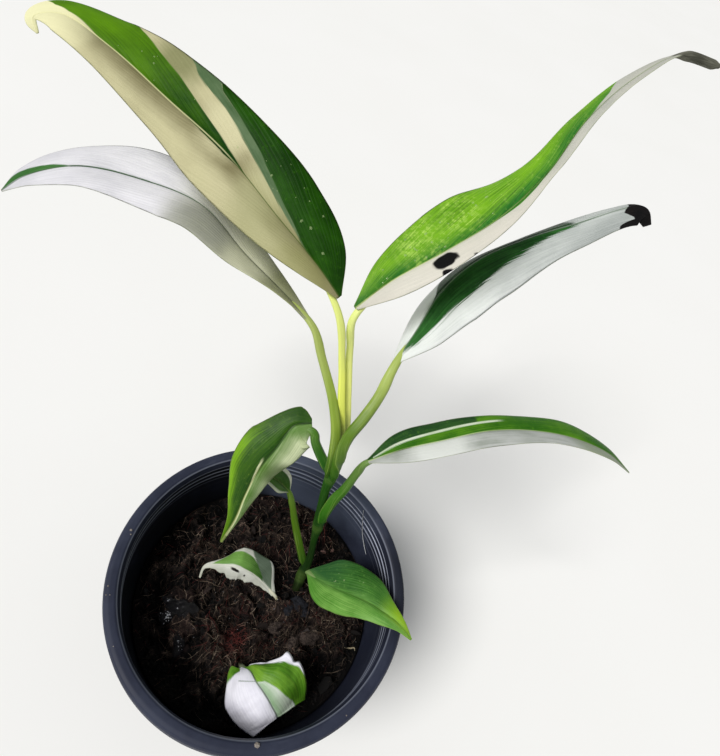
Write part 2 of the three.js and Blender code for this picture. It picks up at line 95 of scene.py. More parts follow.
# %% [markdown]
# ## Light
# A soft sun from the front left, at about the height of a window, gives each leaf a bright and a
# darker half, and leaves the near left wall of the pot black inside. A plain pale sky fills the
# shadows. The colour transform is the plain one, so that white stays white and the greens stay as
# saturated as they are mixed.

# %% Light
scene.view_settings.view_transform = "Standard"
scene.view_settings.look = "None"
sky = bpy.data.worlds.new("pale_sky")
sky.use_nodes = True
background = sky.node_tree.nodes["Background"].inputs
background["Color"].default_value = (0.96, 0.98, 1.0, 1.0)
background["Strength"].default_value = 0.33
scene.world = sky
sun_data = bpy.data.lights.new("soft_sun", "SUN")
sun_data.energy, sun_data.angle, sun_data.color = 2.9, np.radians(24), (1.0, 0.985, 0.96)
toward = np.array([-0.40, -0.46, 0.80])
toward /= np.linalg.norm(toward)
side = np.cross([0.0, 1.0, 0.0], toward)
side /= np.linalg.norm(side)
shown("soft_sun", sun_data).matrix_world = Matrix(
    np.c_[side, np.cross(toward, side), toward].tolist()).to_4x4()

# %% [markdown]
# ## Mesh helpers
# Nearly all of this plant is a stack of closed rings: a petiole is a stack of round rings, a
# blade is a stack of very flat ones, and the pot and the soil are rings round one axis. One
# function joins such rings into a closed skin, and another turns the arrays into a mesh.

# %% Rings into a closed skin
def circle(count):
    """Angles 2 pi k / count."""
    return 2 * np.pi * np.arange(count) / count


def stacked(*parts):
    """Arrays spread to one shape and set side by side along a new last axis."""
    return np.stack(np.broadcast_arrays(*parts), -1)


def tube(centre, across, other, size, angle):
    """Rings centre + size (across cos(angle) + other sin(angle)), one for each centre."""
    return centre[..., None, :] + size[..., None] * (
        across[..., None, :] * np.cos(angle)[:, None]
        + other[..., None, :] * np.sin(angle)[:, None])


def with_ends(values):
    """Values on rings (..., n, k, c), as on the skin: the rings', then the mean of both ends."""
    n, k, c = values.shape[-3:]
    body = values.reshape(-1, n * k, c)
    ends = np.stack([body[:, :k].mean(1), body[:, -k:].mean(1)], 1)
    return np.concatenate([body, ends], 1).reshape(-1, c)


def skin(rings):
    """Closed skin over rings of shape (..., n, k, 3): cells (i, j), (i, j+1), (i+1, j+1), (i+1, j)
    between neighbouring rings, and a fan to the mean point of the first and of the last ring."""
    n, k = rings.shape[-3:-1]
    i, j = np.meshgrid(np.arange(n - 1), np.arange(k), indexing="ij")
    a, b = i * k + j, i * k + (j + 1) % k
    quads = np.stack([a, b, b + k, a + k], -1).reshape(-1, 4)
    j = np.arange(k)
    fans = np.r_[np.c_[np.full(k, n * k), (j + 1) % k, j],
                 np.c_[np.full(k, n * k + 1), (n - 1) * k + j, (n - 1) * k + (j + 1) % k]]
    step = np.arange(rings.size // (3 * n * k))[:, None, None] * (n * k + 2)
    return with_ends(rings), (quads + step).reshape(-1, 4), (fans + step).reshape(-1, 3)


# %% [markdown]
# Blender keeps a mesh as flat lists: the points, the corners of all faces in one row, and
# where each face starts in that row. Whole arrays go in at once, so even a large piece takes
# no loop over its points.

# %% Arrays into a mesh
def make_piece(name, shape, finish, node=None, slot=None, smooth=True, **marks):
    """A mesh object at the origin, from rings or from (points in mm, four-sided faces, three-sided
    faces), with one finish, and marks: a vector for each point, which the finish reads by name."""
    if isinstance(shape, np.ndarray):
        shape, marks = skin(shape), {key: with_ends(mark) for key, mark in marks.items()}
    verts, quads, fans = shape
    loops = np.concatenate([np.ravel(quads), np.ravel(fans)]).astype(np.int32)
    sizes = np.r_[np.full(len(quads), 4), np.full(len(fans), 3)].astype(np.int32)
    mesh = bpy.data.meshes.new(name)
    mesh.vertices.add(len(verts))
    mesh.vertices.foreach_set("co", (verts / 1000).astype(np.float32).ravel())
    mesh.loops.add(len(loops))
    mesh.loops.foreach_set("vertex_index", loops)
    mesh.polygons.add(len(sizes))
    mesh.polygons.foreach_set("loop_start", np.r_[0, np.cumsum(sizes)[:-1]].astype(np.int32))
    mesh.polygons.foreach_set("loop_total", sizes)
    mesh.update(calc_edges=True)
    for mark, values in marks.items():
        set_mark(mesh, mark, values)
    mesh.polygons.foreach_set("use_smooth", np.full(len(sizes), smooth))
    mesh.materials.append(finish)
    piece = shown(name, mesh)
    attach(piece, "root")
    if node:
        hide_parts(node)
    print(f"{name}: {len(verts)} points, {2 * len(quads) + len(fans)} triangles")
    return piece


def set_mark(mesh, mark, values):
    """Writes one vector for each point of the mesh."""
    layer = mesh.attributes.new(mark, "FLOAT_VECTOR", "POINT")
    layer.data.foreach_set("vector", np.asarray(values, np.float32).ravel())


# %% [markdown]
# ## Curves
# A grown thing has no straight lines, so every route, width and height goes through its few
# chosen points on one smooth curve. The slope at a point is the mean of the slopes of the two
# spans that meet there, which keeps the curve close to the points.

# %% A smooth curve through rows of numbers
def through(rows, place, t):
    """Cubic through rows at their places: (2q^3-3q^2+1) a + (q^3-2q^2+q) h A + (3q^2-2q^3) b +
    (q^3-q^2) h B, with A and B the mean slopes at both ends of the span of length h."""
    rows, place, t = np.asarray(rows, float), np.asarray(place, float), np.asarray(t, float)
    slope = np.diff(rows, axis=0) / np.diff(place)[:, None]
    tangent = np.concatenate([slope[:1], (slope[1:] + slope[:-1]) / 2, slope[-1:]])
    i = np.clip(np.searchsorted(place, t, side="right") - 1, 0, len(place) - 2)
    h = np.diff(place)[i][..., None]
    q = (t - place[i])[..., None] / h
    return ((2 * q**3 - 3 * q**2 + 1) * rows[i] + (q**3 - 2 * q**2 + q) * h * tangent[i]
            + (3 * q**2 - 2 * q**3) * rows[i + 1] + (q**3 - q**2) * h * tangent[i + 1])


def distances(rows):
    """The way along x, y, z of the rows, from 0 at the first."""
    return np.r_[0, np.cumsum(np.linalg.norm(np.diff(np.array(rows)[:, :3], axis=0), axis=1))]


def by_distance(rows):
    """Places of rows from 0 to 1 by the straight distance between them."""
    far = distances(rows)
    return far / far[-1]


def unit(v):
    """v divided by its length."""
    return v / np.maximum(np.linalg.norm(v, axis=-1, keepdims=True), 1e-9)


def heading(route):
    """Unit direction of a route of points at each of them, along its last axis but one."""
    return unit(np.gradient(route[..., :3], axis=-2))


def ease(x, low, high):
    """0 below low, 1 above high, and 3q^2 - 2q^3 between them."""
    q = np.clip((x - low) / (high - low), 0, 1)
    return q * q * (3 - 2 * q)


def bell(x, width):
    """exp(-(x / width)^2)"""
    return np.exp(-((x / width) ** 2))


LATTICE = 128


def grain(seed, x, y, size):
    """Random heights from -1 to 1 on a square lattice with cells of that size, blended by
    3q^2 - 2q^3. It repeats after 128 cells."""
    table = np.random.default_rng(seed).uniform(-1, 1, (LATTICE, LATTICE))
    gx, gy = np.asarray(x) / size + LATTICE / 2, np.asarray(y) / size + LATTICE / 2
    i, j = np.floor(gx).astype(int), np.floor(gy).astype(int)
    u, v = ease(gx - i, 0, 1), ease(gy - j, 0, 1)
    i, j, i2, j2 = i % LATTICE, j % LATTICE, (i + 1) % LATTICE, (j + 1) % LATTICE
    return ((table[i, j] * (1 - u) + table[i2, j] * u) * (1 - v)
            + (table[i, j2] * (1 - u) + table[i2, j2] * u) * v)


# %% [markdown]
# ## Material helper
# A finish is a small tree of nodes that ends in one shader. The helper below keeps each step to
# one short line: it puts a node in the tree, sets or links its sockets, and gives back its
# output. Colours are written as six hex digits, as on a screen. Values that are the same all over
# go straight onto the shader.

# %% Finish helper
def linear(ink):
    """Screen colour as light: c/12.92 below 0.04045, else ((c + 0.055)/1.055)^2.4."""
    c = np.array([*bytes.fromhex(ink)]) / 255.0
    return (*np.where(c <= 0.04045, c / 12.92, ((c + 0.055) / 1.055) ** 2.4), 1.0)


class Finish:
    """A material and short calls that each add one node and return its output socket."""

    def __init__(self, name, **settings):
        """A new material, with those values on the shader (an underscore is a space)."""
        self.material = bpy.data.materials.new(name)
        self.material.use_nodes = True
        self.tree = self.material.node_tree
        self.shader = self.tree.nodes["Principled BSDF"]
        for socket, value in settings.items():
            self.shader.inputs[socket.replace("_", " ")].default_value = value

    def put(self, kind, sockets, out=0, **props):
        """A node with its properties and sockets set or linked; gives one of its outputs."""
        node = self.tree.nodes.new("ShaderNode" + kind)
        for key, value in props.items():
            setattr(node, key, value)
        for key, value in sockets.items():
            if isinstance(value, bpy.types.NodeSocket):
                self.tree.links.new(value, node.inputs[key])
            else:
                node.inputs[key].default_value = value
        return node.outputs[out]

    def parts(self, vector):
        """The three parts of a vector."""
        return tuple(self.put("SeparateXYZ", {0: vector}).node.outputs)

    def mark(self, name):
        """The three parts of a vector attribute of the mesh."""
        return self.parts(self.put("Attribute", {}, 1, attribute_name=name))

    def place(self, *scale):
        """Object coordinates in mm, times one factor or one for each axis."""
        factors = tuple(1000 * s for s in np.broadcast_to(scale, 3))
        return self.put("VectorMath", {0: self.put("TexCoord", {}, 3), 1: factors},
                        operation="MULTIPLY")

    def math(self, operation, a, b=0.0, clamp=False):
        """One operation on a and b, kept within 0 to 1 if clamped."""
        return self.put("Math", {0: a, 1: b}, operation=operation, use_clamp=clamp)

    def chain(self, operation, values, clamp):
        """One node for each value after the first; a clamp holds for the last."""
        total = values[0]
        for k, value in enumerate(values[1:], 2):
            total = self.math(operation, total, value, clamp and k == len(values))
        return total

    def times(self, *values, clamp=False):
        """The product of the values."""
        return self.chain("MULTIPLY", values, clamp)

    def plus(self, *values, clamp=False):
        """The sum of the values."""
        return self.chain("ADD", values, clamp)

    def noise(self, where, detail=3.0, rough=0.55):
        """Noise about -0.5 to 0.5 round zero."""
        fac = self.put("TexNoise", {"Vector": where, "Scale": 1.0, "Detail": detail,
                                    "Roughness": rough})
        return self.math("SUBTRACT", fac, 0.5)

    def lines(self, across, fine, along, coarse, detail=3.0, z=0.0):
        """Noise in fine lines: the two marks are scaled apart."""
        spot = {0: self.times(across, fine), 1: self.times(along, coarse), 2: z}
        return self.noise(self.put("CombineXYZ", spot), detail)

    def step(self, value, low, high):
        """0 to 1 as the value goes from low to high, softened at both ends."""
        return self.put("MapRange", {"Value": value, "From Min": low, "From Max": high},
                        interpolation_type="SMOOTHSTEP")

    def mix(self, share, a, b, how="MIX"):
        """Colour a, with b over it by share."""
        a, b = (linear(ink) if isinstance(ink, str) else ink for ink in (a, b))
        return self.put("Mix", {0: share, 6: a, 7: b}, 2, data_type="RGBA", blend_type=how)

    def over(self, colour, ink, *shares):
        """The colour, with the ink over it by the product of the shares."""
        return self.mix(self.times(*shares), colour, ink)

    def near(self, x, y, z, low, high, ragged=0.0):
        """1 within low mm of a point and 0 beyond high, or the reverse if low is the larger. A
        ragged border adds that many mm times a noise."""
        spot = self.put("VectorMath", {0: self.place(1.0), 1: (x, y, z)}, operation="SUBTRACT")
        far = self.put("VectorMath", {0: spot}, 1, operation="LENGTH")
        if ragged:
            far = self.plus(far, self.times(self.noise(self.place(0.16)), ragged))
        return self.step(far, high, low)

    def end(self, colour, roughness=None, height=None, depth_mm=0.1, strength=1.0):
        """Links colour, roughness and a bump of that depth into the shader."""
        links = {"Base Color": colour, "Roughness": roughness}
        if height is not None:
            links["Normal"] = self.put("Bump", {"Height": height, "Distance": depth_mm / 1000,
                                                "Strength": strength})
        for key, socket in links.items():
            if socket is not None:
                self.tree.links.new(socket, self.shader.inputs[key])
        return self.material


# %% [markdown]
# ## Floor
# The floor is a plain pale sheet of paper. It is large, so that its edge never shows, and it
# isn't part of the plant.

# %% Floor
paper = Finish("pale_paper", Roughness=0.9)
paper_tone = paper.step(paper.noise(paper.place(0.004), 2.0), -0.5, 0.5)
floor_mesh = bpy.data.meshes.new("floor")
floor_mesh.from_pydata([(-12, -12, -0.0004), (12, -12, -0.0004), (12, 12, -0.0004),
                        (-12, 12, -0.0004)], [], [(0, 1, 2, 3)])
floor_mesh.materials.append(
    paper.end(paper.mix(paper_tone, "f0f0ee", "f3f3f2")))
shown("floor", floor_mesh)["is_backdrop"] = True

# %% [markdown]
# ## The pot
# A nursery pot is blown or moulded from thin plastic: a tapered wall, a flat lip with a hanging
# skirt outside, a standing ring and drainage holes below, and fine steps under the lip inside.
# Such a round thing is one profile turned round the axis. The corners of the profile are rounded
# first, because a moulded edge always catches a thin line of light.

# %% The profile of the pot
POT_HEIGHT, RIM_OUTER, RIM_INNER = 125.0, 75.0, 68.6
SKIRT_DROP, SKIRT_WALL, WALL = 11.0, 1.6, 1.5
FOOT_OUTER, FOOT_INNER, HUB, FLOOR_RAISE, FLOOR_TOP = 52.5, 44.5, 24.0, 4.0, 5.5
BORE_LOW, BORE_HIGH, BORE_TOP = 52.0, 68.0, 110
RING_COUNT, RING_PITCH, RING_DEPTH, FIRST_RING = 3, 4.4, 0.6, 5.4


def bore(z):
    """Inside radius of the pot at height z: a straight taper from the floor to under the lip."""
    return BORE_LOW + (BORE_HIGH - BORE_LOW) * (z - FLOOR_TOP) / (BORE_TOP - FLOOR_TOP)


def rounded(points, radius, steps=5):
    """Each corner p becomes a curve (1-q)^2 a + 2q(1-q) p + q^2 b, from a on one side to b on the
    other, both at the radius from p but within 0.45 of that side."""
    before, here, after = points[:-2], points[1:-1], points[2:]
    a, b = (here + unit(p - here) * np.minimum(
        radius, 0.45 * np.linalg.norm(p - here, axis=1))[:, None] for p in (before, after))
    q = np.linspace(0, 1, steps)[None, :, None]
    curve = (1 - q) ** 2 * a[:, None] + 2 * q * (1 - q) * here[:, None] + q**2 * b[:, None]
    return np.concatenate([points[:1], curve.reshape(-1, 2), points[-1:]])


skirt_low, wall_top = POT_HEIGHT - SKIRT_DROP, POT_HEIGHT - 2.6
outside = [[2, 0], [HUB, 0], [HUB + 1.5, FLOOR_RAISE], [FOOT_INNER - 1.5, FLOOR_RAISE],
           [FOOT_INNER, 0], [FOOT_OUTER - 1, 0], [FOOT_OUTER + 0.6, 1.6],
           [bore(BORE_TOP) + WALL, BORE_TOP], [BORE_HIGH + WALL + 0.3, wall_top],
           [RIM_OUTER - SKIRT_WALL, wall_top], [RIM_OUTER - SKIRT_WALL, skirt_low],
           [RIM_OUTER - 0.1, skirt_low], [RIM_OUTER, skirt_low + 1],
           [RIM_OUTER, POT_HEIGHT - 2.2], [RIM_OUTER - 0.9, POT_HEIGHT - 0.5],
           [RIM_OUTER - 2.6, POT_HEIGHT], [RIM_INNER + 1.2, POT_HEIGHT - 0.2],
           [RIM_INNER, POT_HEIGHT - 1.2], [RIM_INNER - 0.2, POT_HEIGHT - 3]]
step_tops = POT_HEIGHT - FIRST_RING - RING_PITCH * np.arange(RING_COUNT)
steps_inside = np.stack([stacked(BORE_HIGH - RING_DEPTH + 0.2, step_tops),
                         stacked(BORE_HIGH + 0.2, step_tops - RING_PITCH + 0.6)], 1)
profile = rounded(np.r_[outside, steps_inside.reshape(-1, 2),
                        [[BORE_LOW, FLOOR_TOP], [2, FLOOR_TOP]]], 0.5)
print("profile points:", len(profile))

# %% [markdown]
# The plastic is dark slate blue with a satin face. Real pots of this kind are dusty and a little
# scuffed: the dust is paler and rougher than the plastic, and it lies on the lip and in the
# steps. Faint marks run round the wall, because the pots are stacked and pulled apart. The
# sharp crests of the steps and the lip's inner edge get a painted highlight, strongest at the
# right and back. The wall gets painted shade low over the mix and, at the left, up to the lip.
# The back wall gets a patch of painted light, and the right wall and rim get a patch of painted
# shade.
# The mesh carries marks for the painted highlight of the steps, the painted shade of the wall, and
# the lip's inner edge. The crests themselves come from the height: a ping-pong of z over the
# pitch is 0 at each crest, and goes on below the last step, where the same pale lines are
# painted without a step.

# %% Pot plastic
def pot_plastic():
    """Slate-blue plastic: dust by two sizes of noise, scuffs stretched round the wall by height,
    painted shade on the wall, painted light on the back wall, painted shade on the right rim,
    painted highlights on the crests and the lip's edge, and a fine moulded grain for the bump."""
    f = Finish("slate_plastic", Specular_IOR_Level=0.2)
    painted_light, painted_shade, lip = f.mark("painted_light")
    cloud = f.noise(f.place(0.05), 4.0, 0.6)
    speck = f.noise(f.place(0.9), 3.0, 0.7)
    scuff = f.noise(f.place(0.03, 0.03, 1.4), 3.0, 0.6)
    colour = f.mix(f.step(cloud, -0.2, 0.25), "262a3a", "323748")
    colour = f.over(colour, "585e6e", f.step(scuff, 0.10, 0.3), 0.35)
    # Painted shade: the wall goes almost black low over the mix and, at the left, up to the lip.
    colour = f.over(colour, "06070a", painted_shade, f.step(cloud, -0.7, 0.1), 0.9)
    dust = f.times(f.step(speck, 0.2, 0.34), f.step(cloud, -0.1, 0.3))
    colour = f.over(colour, "787068", dust, 0.35)
    z = f.parts(f.place(1.0))[2]
    below = f.math("SUBTRACT", z, float(step_tops[-1]) - 0.1)
    crest = f.step(f.math("PINGPONG", below, RING_PITCH / 2), 0.55, 0.25)
    crest = f.math("MAXIMUM", f.times(crest, painted_light, f.step(z, 99.5, 118.0)), lip)
    # Painted light: a paler patch on the back wall.
    back_wall_light = f.math("MAXIMUM", f.near(0, 66, 108, 16, 44, 8), f.near(30, 58, 112, 6, 24, 8))
    colour = f.over(colour, "525a6c", back_wall_light, 0.8)
    # Painted shade: the right wall and the rim beside it are darkened.
    colour = f.over(colour, "0e1118", f.near(64, 26, 120, 10, 40, 6), 0.62)
    # Painted highlight: pale lines on the crests of the steps, strongest on the lit side, and on
    # the lip's inner edge.
    colour = f.over(colour, "b8bed0", crest,
                    f.step(f.noise(f.place(0.11)), -0.4, -0.1))
    rough = f.plus(f.times(f.step(cloud, -0.3, 0.3), 0.14), 0.5)
    rough = f.plus(rough, f.times(dust, 0.3), clamp=True)
    return f.end(colour, rough, f.plus(f.noise(f.place(2.4), 2.0, 0.5), scuff), 0.06, 0.5)


SLATE = pot_plastic()

# %% [markdown]
# The turned profile is one closed skin. The eight drainage holes are cut afterwards with a
# Boolean modifier, whose result is kept as the mesh, because holes in a turned surface would
# break its even rings.

# %% Turn the pot and cut its drainage holes
POT_SIDES, HOLES, HOLES_AT, HOLE_RADIUS, PUNCH_ENDS = 208, 8, 34.5, 5, [[-3.0], [15.0]]
turn = np.linspace(0, 2 * np.pi, POT_SIDES, endpoint=False)
pot_shell = make_piece("pot_shell", stacked(
    profile[:, :1] * np.cos(turn), profile[:, :1] * np.sin(turn), profile[:, 1:]), SLATE, "pot")

turn = np.linspace(0, 2 * np.pi, 32, endpoint=False)
hole_at = (2 * np.pi * (np.arange(HOLES) + 0.5) / HOLES)[:, None, None]
punch = make_piece("punch", stacked(
    HOLES_AT * np.cos(hole_at) + HOLE_RADIUS * np.cos(turn),
    HOLES_AT * np.sin(hole_at) + HOLE_RADIUS * np.sin(turn), PUNCH_ENDS), SLATE)
cut = pot_shell.modifiers.new("drain", "BOOLEAN")
cut.operation, cut.solver, cut.object = "DIFFERENCE", "EXACT", punch
bpy.context.view_layer.update()
holed = bpy.data.meshes.new_from_object(
    pot_shell.evaluated_get(bpy.context.evaluated_depsgraph_get()))
pot_shell.modifiers.clear()
pot_shell.data = holed
bpy.data.objects.remove(punch)
holed.set_sharp_from_angle(angle=np.radians(38))


def light_and_shade_marks(x, y, z):
    """Painted highlight of the steps, 1 at the right and back and 0.4 elsewhere; painted shade, 1
    low on the wall and, at the left, up to the lip; and the painted highlight of the lip's inner
    edge, exp(-(off its line / 0.3 mm)^2)."""
    r, turn = np.hypot(x, y), np.arctan2(y, x)
    steps = (r < BORE_HIGH + 0.3) & (z > FLOOR_TOP - 0.1)
    lip = 0.5 * bell(r - RIM_INNER - 0.1, 0.3) * bell(z - POT_HEIGHT + 0.8, 0.5)
    painted_shade = ease(-z, -124, -116) * ease(-x, -8, 40) + 0.75 * ease(-z, -112, -96)
    return stacked(steps * (0.4 + 0.6 * bell(turn - 0.85, 0.6)),
                   np.minimum(painted_shade, 1) * (r < BORE_HIGH + 0.3), lip)


points = np.empty(3 * len(holed.vertices), np.float32)
holed.vertices.foreach_get("co", points)
marks = light_and_shade_marks(*(1000 * points.reshape(-1, 3)).T)
set_mark(holed, "painted_light", marks)
print("pot faces after the holes:", len(holed.polygons), "worn points:", int((marks > 0.5).sum()))

# %% [markdown]
# ## The potting mix
# The mix is moist coir, bark and peat: almost black, lumpy, with clods a thumb wide, a crust of
# crumbs and a felt of fine brown fibres. The bed gives the lumps, as heights on rings round the
# axis. Crumbs and fibres are separate small shapes on it, of twenty to thirty faces each.

# %% Height of the mix
CLODS = np.array([
    [-36, -8, 11, 4.5], [-27, 9, 8, 3.0], [27, -10, 10, 3.5], [32, -22, 9, 3.0], [22, 4, 7, 3.0],
    [-14, -28, 12, 2.5], [3, -20, 9, 2.0], [-6, 40, 13, 5.0], [14, 47, 9, 4.0], [40, 22, 9, 3.5],
    [50, 2, 7, 3.0], [-46, 22, 9, 3.0], [-26, 34, 11, 3.5], [-50, -16, 8, -3.0],
    [-34, -38, 12, -3.5], [4, 12, 9, -2.0], [46, -26, 9, -2.5], [-8, -48, 10, -2.5]])
SOIL_LEVEL = 89.0
SOIL_EDGE = bore(83) - 0.3


def torn(x, y):
    """Torn lumps in mm: three noises on a bent lattice, each made steep by an ease, so that it
    has flat tops and dark gaps, plus two sizes of fine grain."""
    bx = x + 4 * grain(15, x, y, 8) + 1.4 * grain(17, x, y, 2.4)
    by = y + 4 * grain(16, x, y, 8) + 1.4 * grain(18, x, y, 2.4)
    steep = sum(height * ease(grain(seed, bx, by, size), -0.25, top) for height, seed, size, top in
                ((4.0, 11, 9, 0.25), (2.2, 12, 4.6, 0.25), (1.1, 19, 2.2, 0.3)))
    return steep - 4.2 + 0.45 * grain(13, x, y, 1.5) + 0.3 * grain(14, x, y, 0.9)


def soil_height(x, y):
    """Level, plus h exp(-q^2 - q/2) for each clod with q its squared distance over its radius
    squared, plus low waves, plus the torn surface, all fading out towards the wall."""
    q = ((x[..., None] - CLODS[:, 0]) ** 2 + (y[..., None] - CLODS[:, 1]) ** 2) / CLODS[:, 2] ** 2
    z = SOIL_LEVEL + (CLODS[:, 3] * np.exp(-q * q - 0.5 * q)).sum(-1)
    z = z + 0.9 * (np.sin(0.41 * x + 1.3) * np.sin(0.37 * y + 0.4) + np.sin(0.23 * x - 0.31 * y))
    fade = np.clip((SOIL_EDGE - np.hypot(x, y)) / 5, 0, 1)
    return (SOIL_LEVEL - 3) * (1 - fade) + (z + torn(x, y)) * fade


# %% [markdown]
# The colour of the mix comes from noise: dark peat, brown bark dust, and a reddish coir tone in
# patches. The tops of the lumps are painted lighter and the gaps between them black, as painted
# shade, so the mesh carries the height of the torn surface as a mark. Along the wall the mix is
# painted black as the shade of the wall, most of all at the front, so the colour sinks with the
# distance from a point behind the middle.

# %% Mix finish
def painted_wall_shade(f, colour):
    """The colour, with painted shade: black towards the wall."""
    return f.over(colour, "050505", f.near(-12, 22, 90, 90, 54, 14), 0.8)


def mix_colour(f, tone):
    """Peat, bark and coir by tone from 0 to 1, a reddish cast in patches, and painted shade by the
    wall.
    """
    patch = f.step(f.noise(f.place(0.06), 2.0), -0.05, 0.2)
    colour = f.mix(f.step(tone, 0.18, 0.8), "030303", "2a2320")
    colour = f.mix(f.step(tone, 0.66, 1.0), colour, "8a7466")
    return painted_wall_shade(f, f.over(colour, "3a2220", patch, 0.2))


def soil_finish():
    """Tone from fine and coarse noise and from the height of the torn surface, lighter on the tops;
    the gaps painted black as shade.
    """
    f = Finish("moist_mix", Specular_IOR_Level=0.15, Roughness=0.92)
    top = f.mark("lump")[0]
    coarse, fine = f.noise(f.place(0.2), 5.0, 0.7), f.noise(f.place(1.3), 4.0, 0.75)
    # Painted light and shade: the tops of the lumps are lighter and the gaps between them are
    # darkened to black.
    tone = f.plus(f.times(coarse, 1.5), f.times(fine, 1.5),
                  f.times(f.step(top, -2.6, 2.6), 0.6), clamp=True)
    colour = f.over(mix_colour(f, tone), "020202",
                    f.step(f.plus(top, fine), 0.3, -2.4), 0.94)
    return f.end(colour, None, f.plus(fine, coarse), 0.8)


# %% [markdown]
# The bed is one closed skin of rings: first the underside, then the side along the wall, and
# then the top, whose rings close in on the axis and take their heights from the function
# above.

# %% The bed of mix
SOIL_SIDES, SOIL_RINGS = 540, 168
soil_turn = np.linspace(0, 2 * np.pi, SOIL_SIDES, endpoint=False)
low_radius = bore(FLOOR_TOP) - 0.45
under_r = np.r_[3.0, low_radius - 2, low_radius, np.linspace(low_radius, SOIL_EDGE, 8)[1:]]
under_z = np.r_[FLOOR_TOP + 0.3, FLOOR_TOP + 0.3, FLOOR_TOP + 0.5,
                np.linspace(FLOOR_TOP + 0.5, SOIL_LEVEL - 3, 8)[1:]]
top_r = SOIL_EDGE * np.linspace(1, 0.006, SOIL_RINGS)[1:] ** 0.9
radius = np.r_[under_r, top_r][:, None]
sx, sy = radius * np.cos(soil_turn), radius * np.sin(soil_turn)
sz = np.repeat(np.r_[under_z, top_r * 0][:, None], SOIL_SIDES, 1)
top = slice(len(under_r), None)
sz[top] = soil_height(sx[top], sy[top])
lump = np.zeros((*sz.shape, 3))
lump[top, :, 0] = torn(sx[top], sy[top])
make_piece("soil_bed", stacked(sx, sy, sz), soil_finish(), "soil", lump=lump)

# %% [markdown]
# Crumbs are twenty-sided grains, squeezed, turned and dented at random, and strewn over the bed.
# The seed is fixed, so that the same crumbs lie in the same places each time. Each crumb carries
# its own tone as a mark, so that neighbours differ.

# %% Grains
GOLDEN = (1 + 5**0.5) / 2
GRAIN_POINTS = unit(np.array([np.roll([a, b, 0], k) for k in range(3)
                              for b in (GOLDEN, -GOLDEN) for a in (-1, 1)]))
GRAIN_FACES = np.array([
    [0, 11, 5], [0, 5, 1], [0, 1, 7], [0, 7, 10], [0, 10, 11], [1, 5, 9], [5, 11, 4],
    [11, 10, 2], [10, 7, 6], [7, 1, 8], [3, 9, 4], [3, 4, 2], [3, 2, 6], [3, 6, 8], [3, 8, 9],
    [4, 9, 5], [2, 4, 11], [6, 2, 10], [8, 6, 7], [9, 8, 1]])


def grain_skin(bodies):
    """Grains of twelve points each as points, no four-sided faces, and three-sided faces."""
    faces = GRAIN_FACES[None] + 12 * np.arange(len(bodies))[:, None, None]
    return bodies.reshape(-1, 3), np.empty((0, 4), int), faces.reshape(-1, 3)


def dented(rng, count, dent):
    """Balls of twelve points, each point in or out by up to that share."""
    return GRAIN_POINTS[None] * (1 + rng.uniform(-dent, dent, (count, 12, 1)))


def turned(rng, bodies):
    """Each body turned by the rotation matrix of a random unit quaternion."""
    w, x, y, z = unit(rng.normal(size=(len(bodies), 4))).T
    matrices = np.stack([1 - 2 * (y * y + z * z), 2 * (x * y - z * w), 2 * (x * z + y * w),
                         2 * (x * y + z * w), 1 - 2 * (x * x + z * z), 2 * (y * z - x * w),
                         2 * (x * z - y * w), 2 * (y * z + x * w), 1 - 2 * (x * x + y * y)], -1)
    return np.einsum("nij,nkj->nki", matrices.reshape(-1, 3, 3), bodies)


def strewn(rng, count, reach=0.97):
    """Random places on the bed, even over its area."""
    angle = rng.uniform(0, 2 * np.pi, count)
    r = SOIL_EDGE * reach * np.sqrt(rng.uniform(0.0005, 1, count))
    return r * np.cos(angle), r * np.sin(angle)


def on_bed(x, y, above):
    """Points at x, y and above mm over the mix."""
    return stacked(x, y, soil_height(x, y) + above)


def grains(seed, count, sizes, flatness, sink):
    """count grains: the twenty-sided ball, dented by noise, scaled on three axes, turned, and
    set into the bed by sink times its size; and their tones."""
    rng = np.random.default_rng(seed)
    size = sizes[0] + (sizes[1] - sizes[0]) * rng.power(0.45, count)[:, None, None]
    body = dented(rng, count, 0.28) * size * rng.uniform(
        [[0.7, 0.5, flatness]], [[1.3, 0.9, flatness + 0.3]], (count, 3))[:, None]
    body = turned(rng, body) + on_bed(*strewn(rng, count), size[:, 0, 0] * sink)[:, None]
    return grain_skin(body), np.repeat(rng.uniform(0, 1, (count, 3)), 12, 0)


# %% [markdown]
# Crumbs and bark chips follow the same rules. The crumbs are thousands of small grains, and
# the chips are fewer, larger and flatter.

# %% Crumbs and bark chips
def crumb_finish(name, low, high):
    """The mix's own colours, by each crumb's tone, from low to high, with the painted shade by the
    wall.
    """
    f = Finish(name, Specular_IOR_Level=0.25)
    tone, sheen, _ = f.mark("tone")
    fine = f.noise(f.place(1.6), 3.0, 0.7)
    value = f.plus(f.times(tone, high - low), low)
    value = f.plus(value, f.times(fine, 0.5), clamp=True)
    rough = f.math("SUBTRACT", 0.95, f.times(f.step(sheen, 0.85, 1.0), 0.55))
    return f.end(mix_colour(f, value), rough, fine, 0.25, 0.8)


for name, strew, finish in (
        ("soil_crumbs", (21, 4200, (0.2, 1.1), 0.4, 0.1), ("crumb_mix", -0.05, 0.78)),
        ("bark_chips", (22, 150, (1.4, 4.6), 0.2, 0.15), ("bark_brown", 0.0, 0.66))):
    shape, tone = grains(*strew)
    make_piece(name, shape, crumb_finish(*finish), slot="soil", smooth=False, tone=tone)

# %% [markdown]
# A few larger things lie on the mix: wet clods that glint, torn pieces of husk, blue-grey lumps,
# and some pinkish bits of clay. Each is a ball whose radius is broken up by noise.

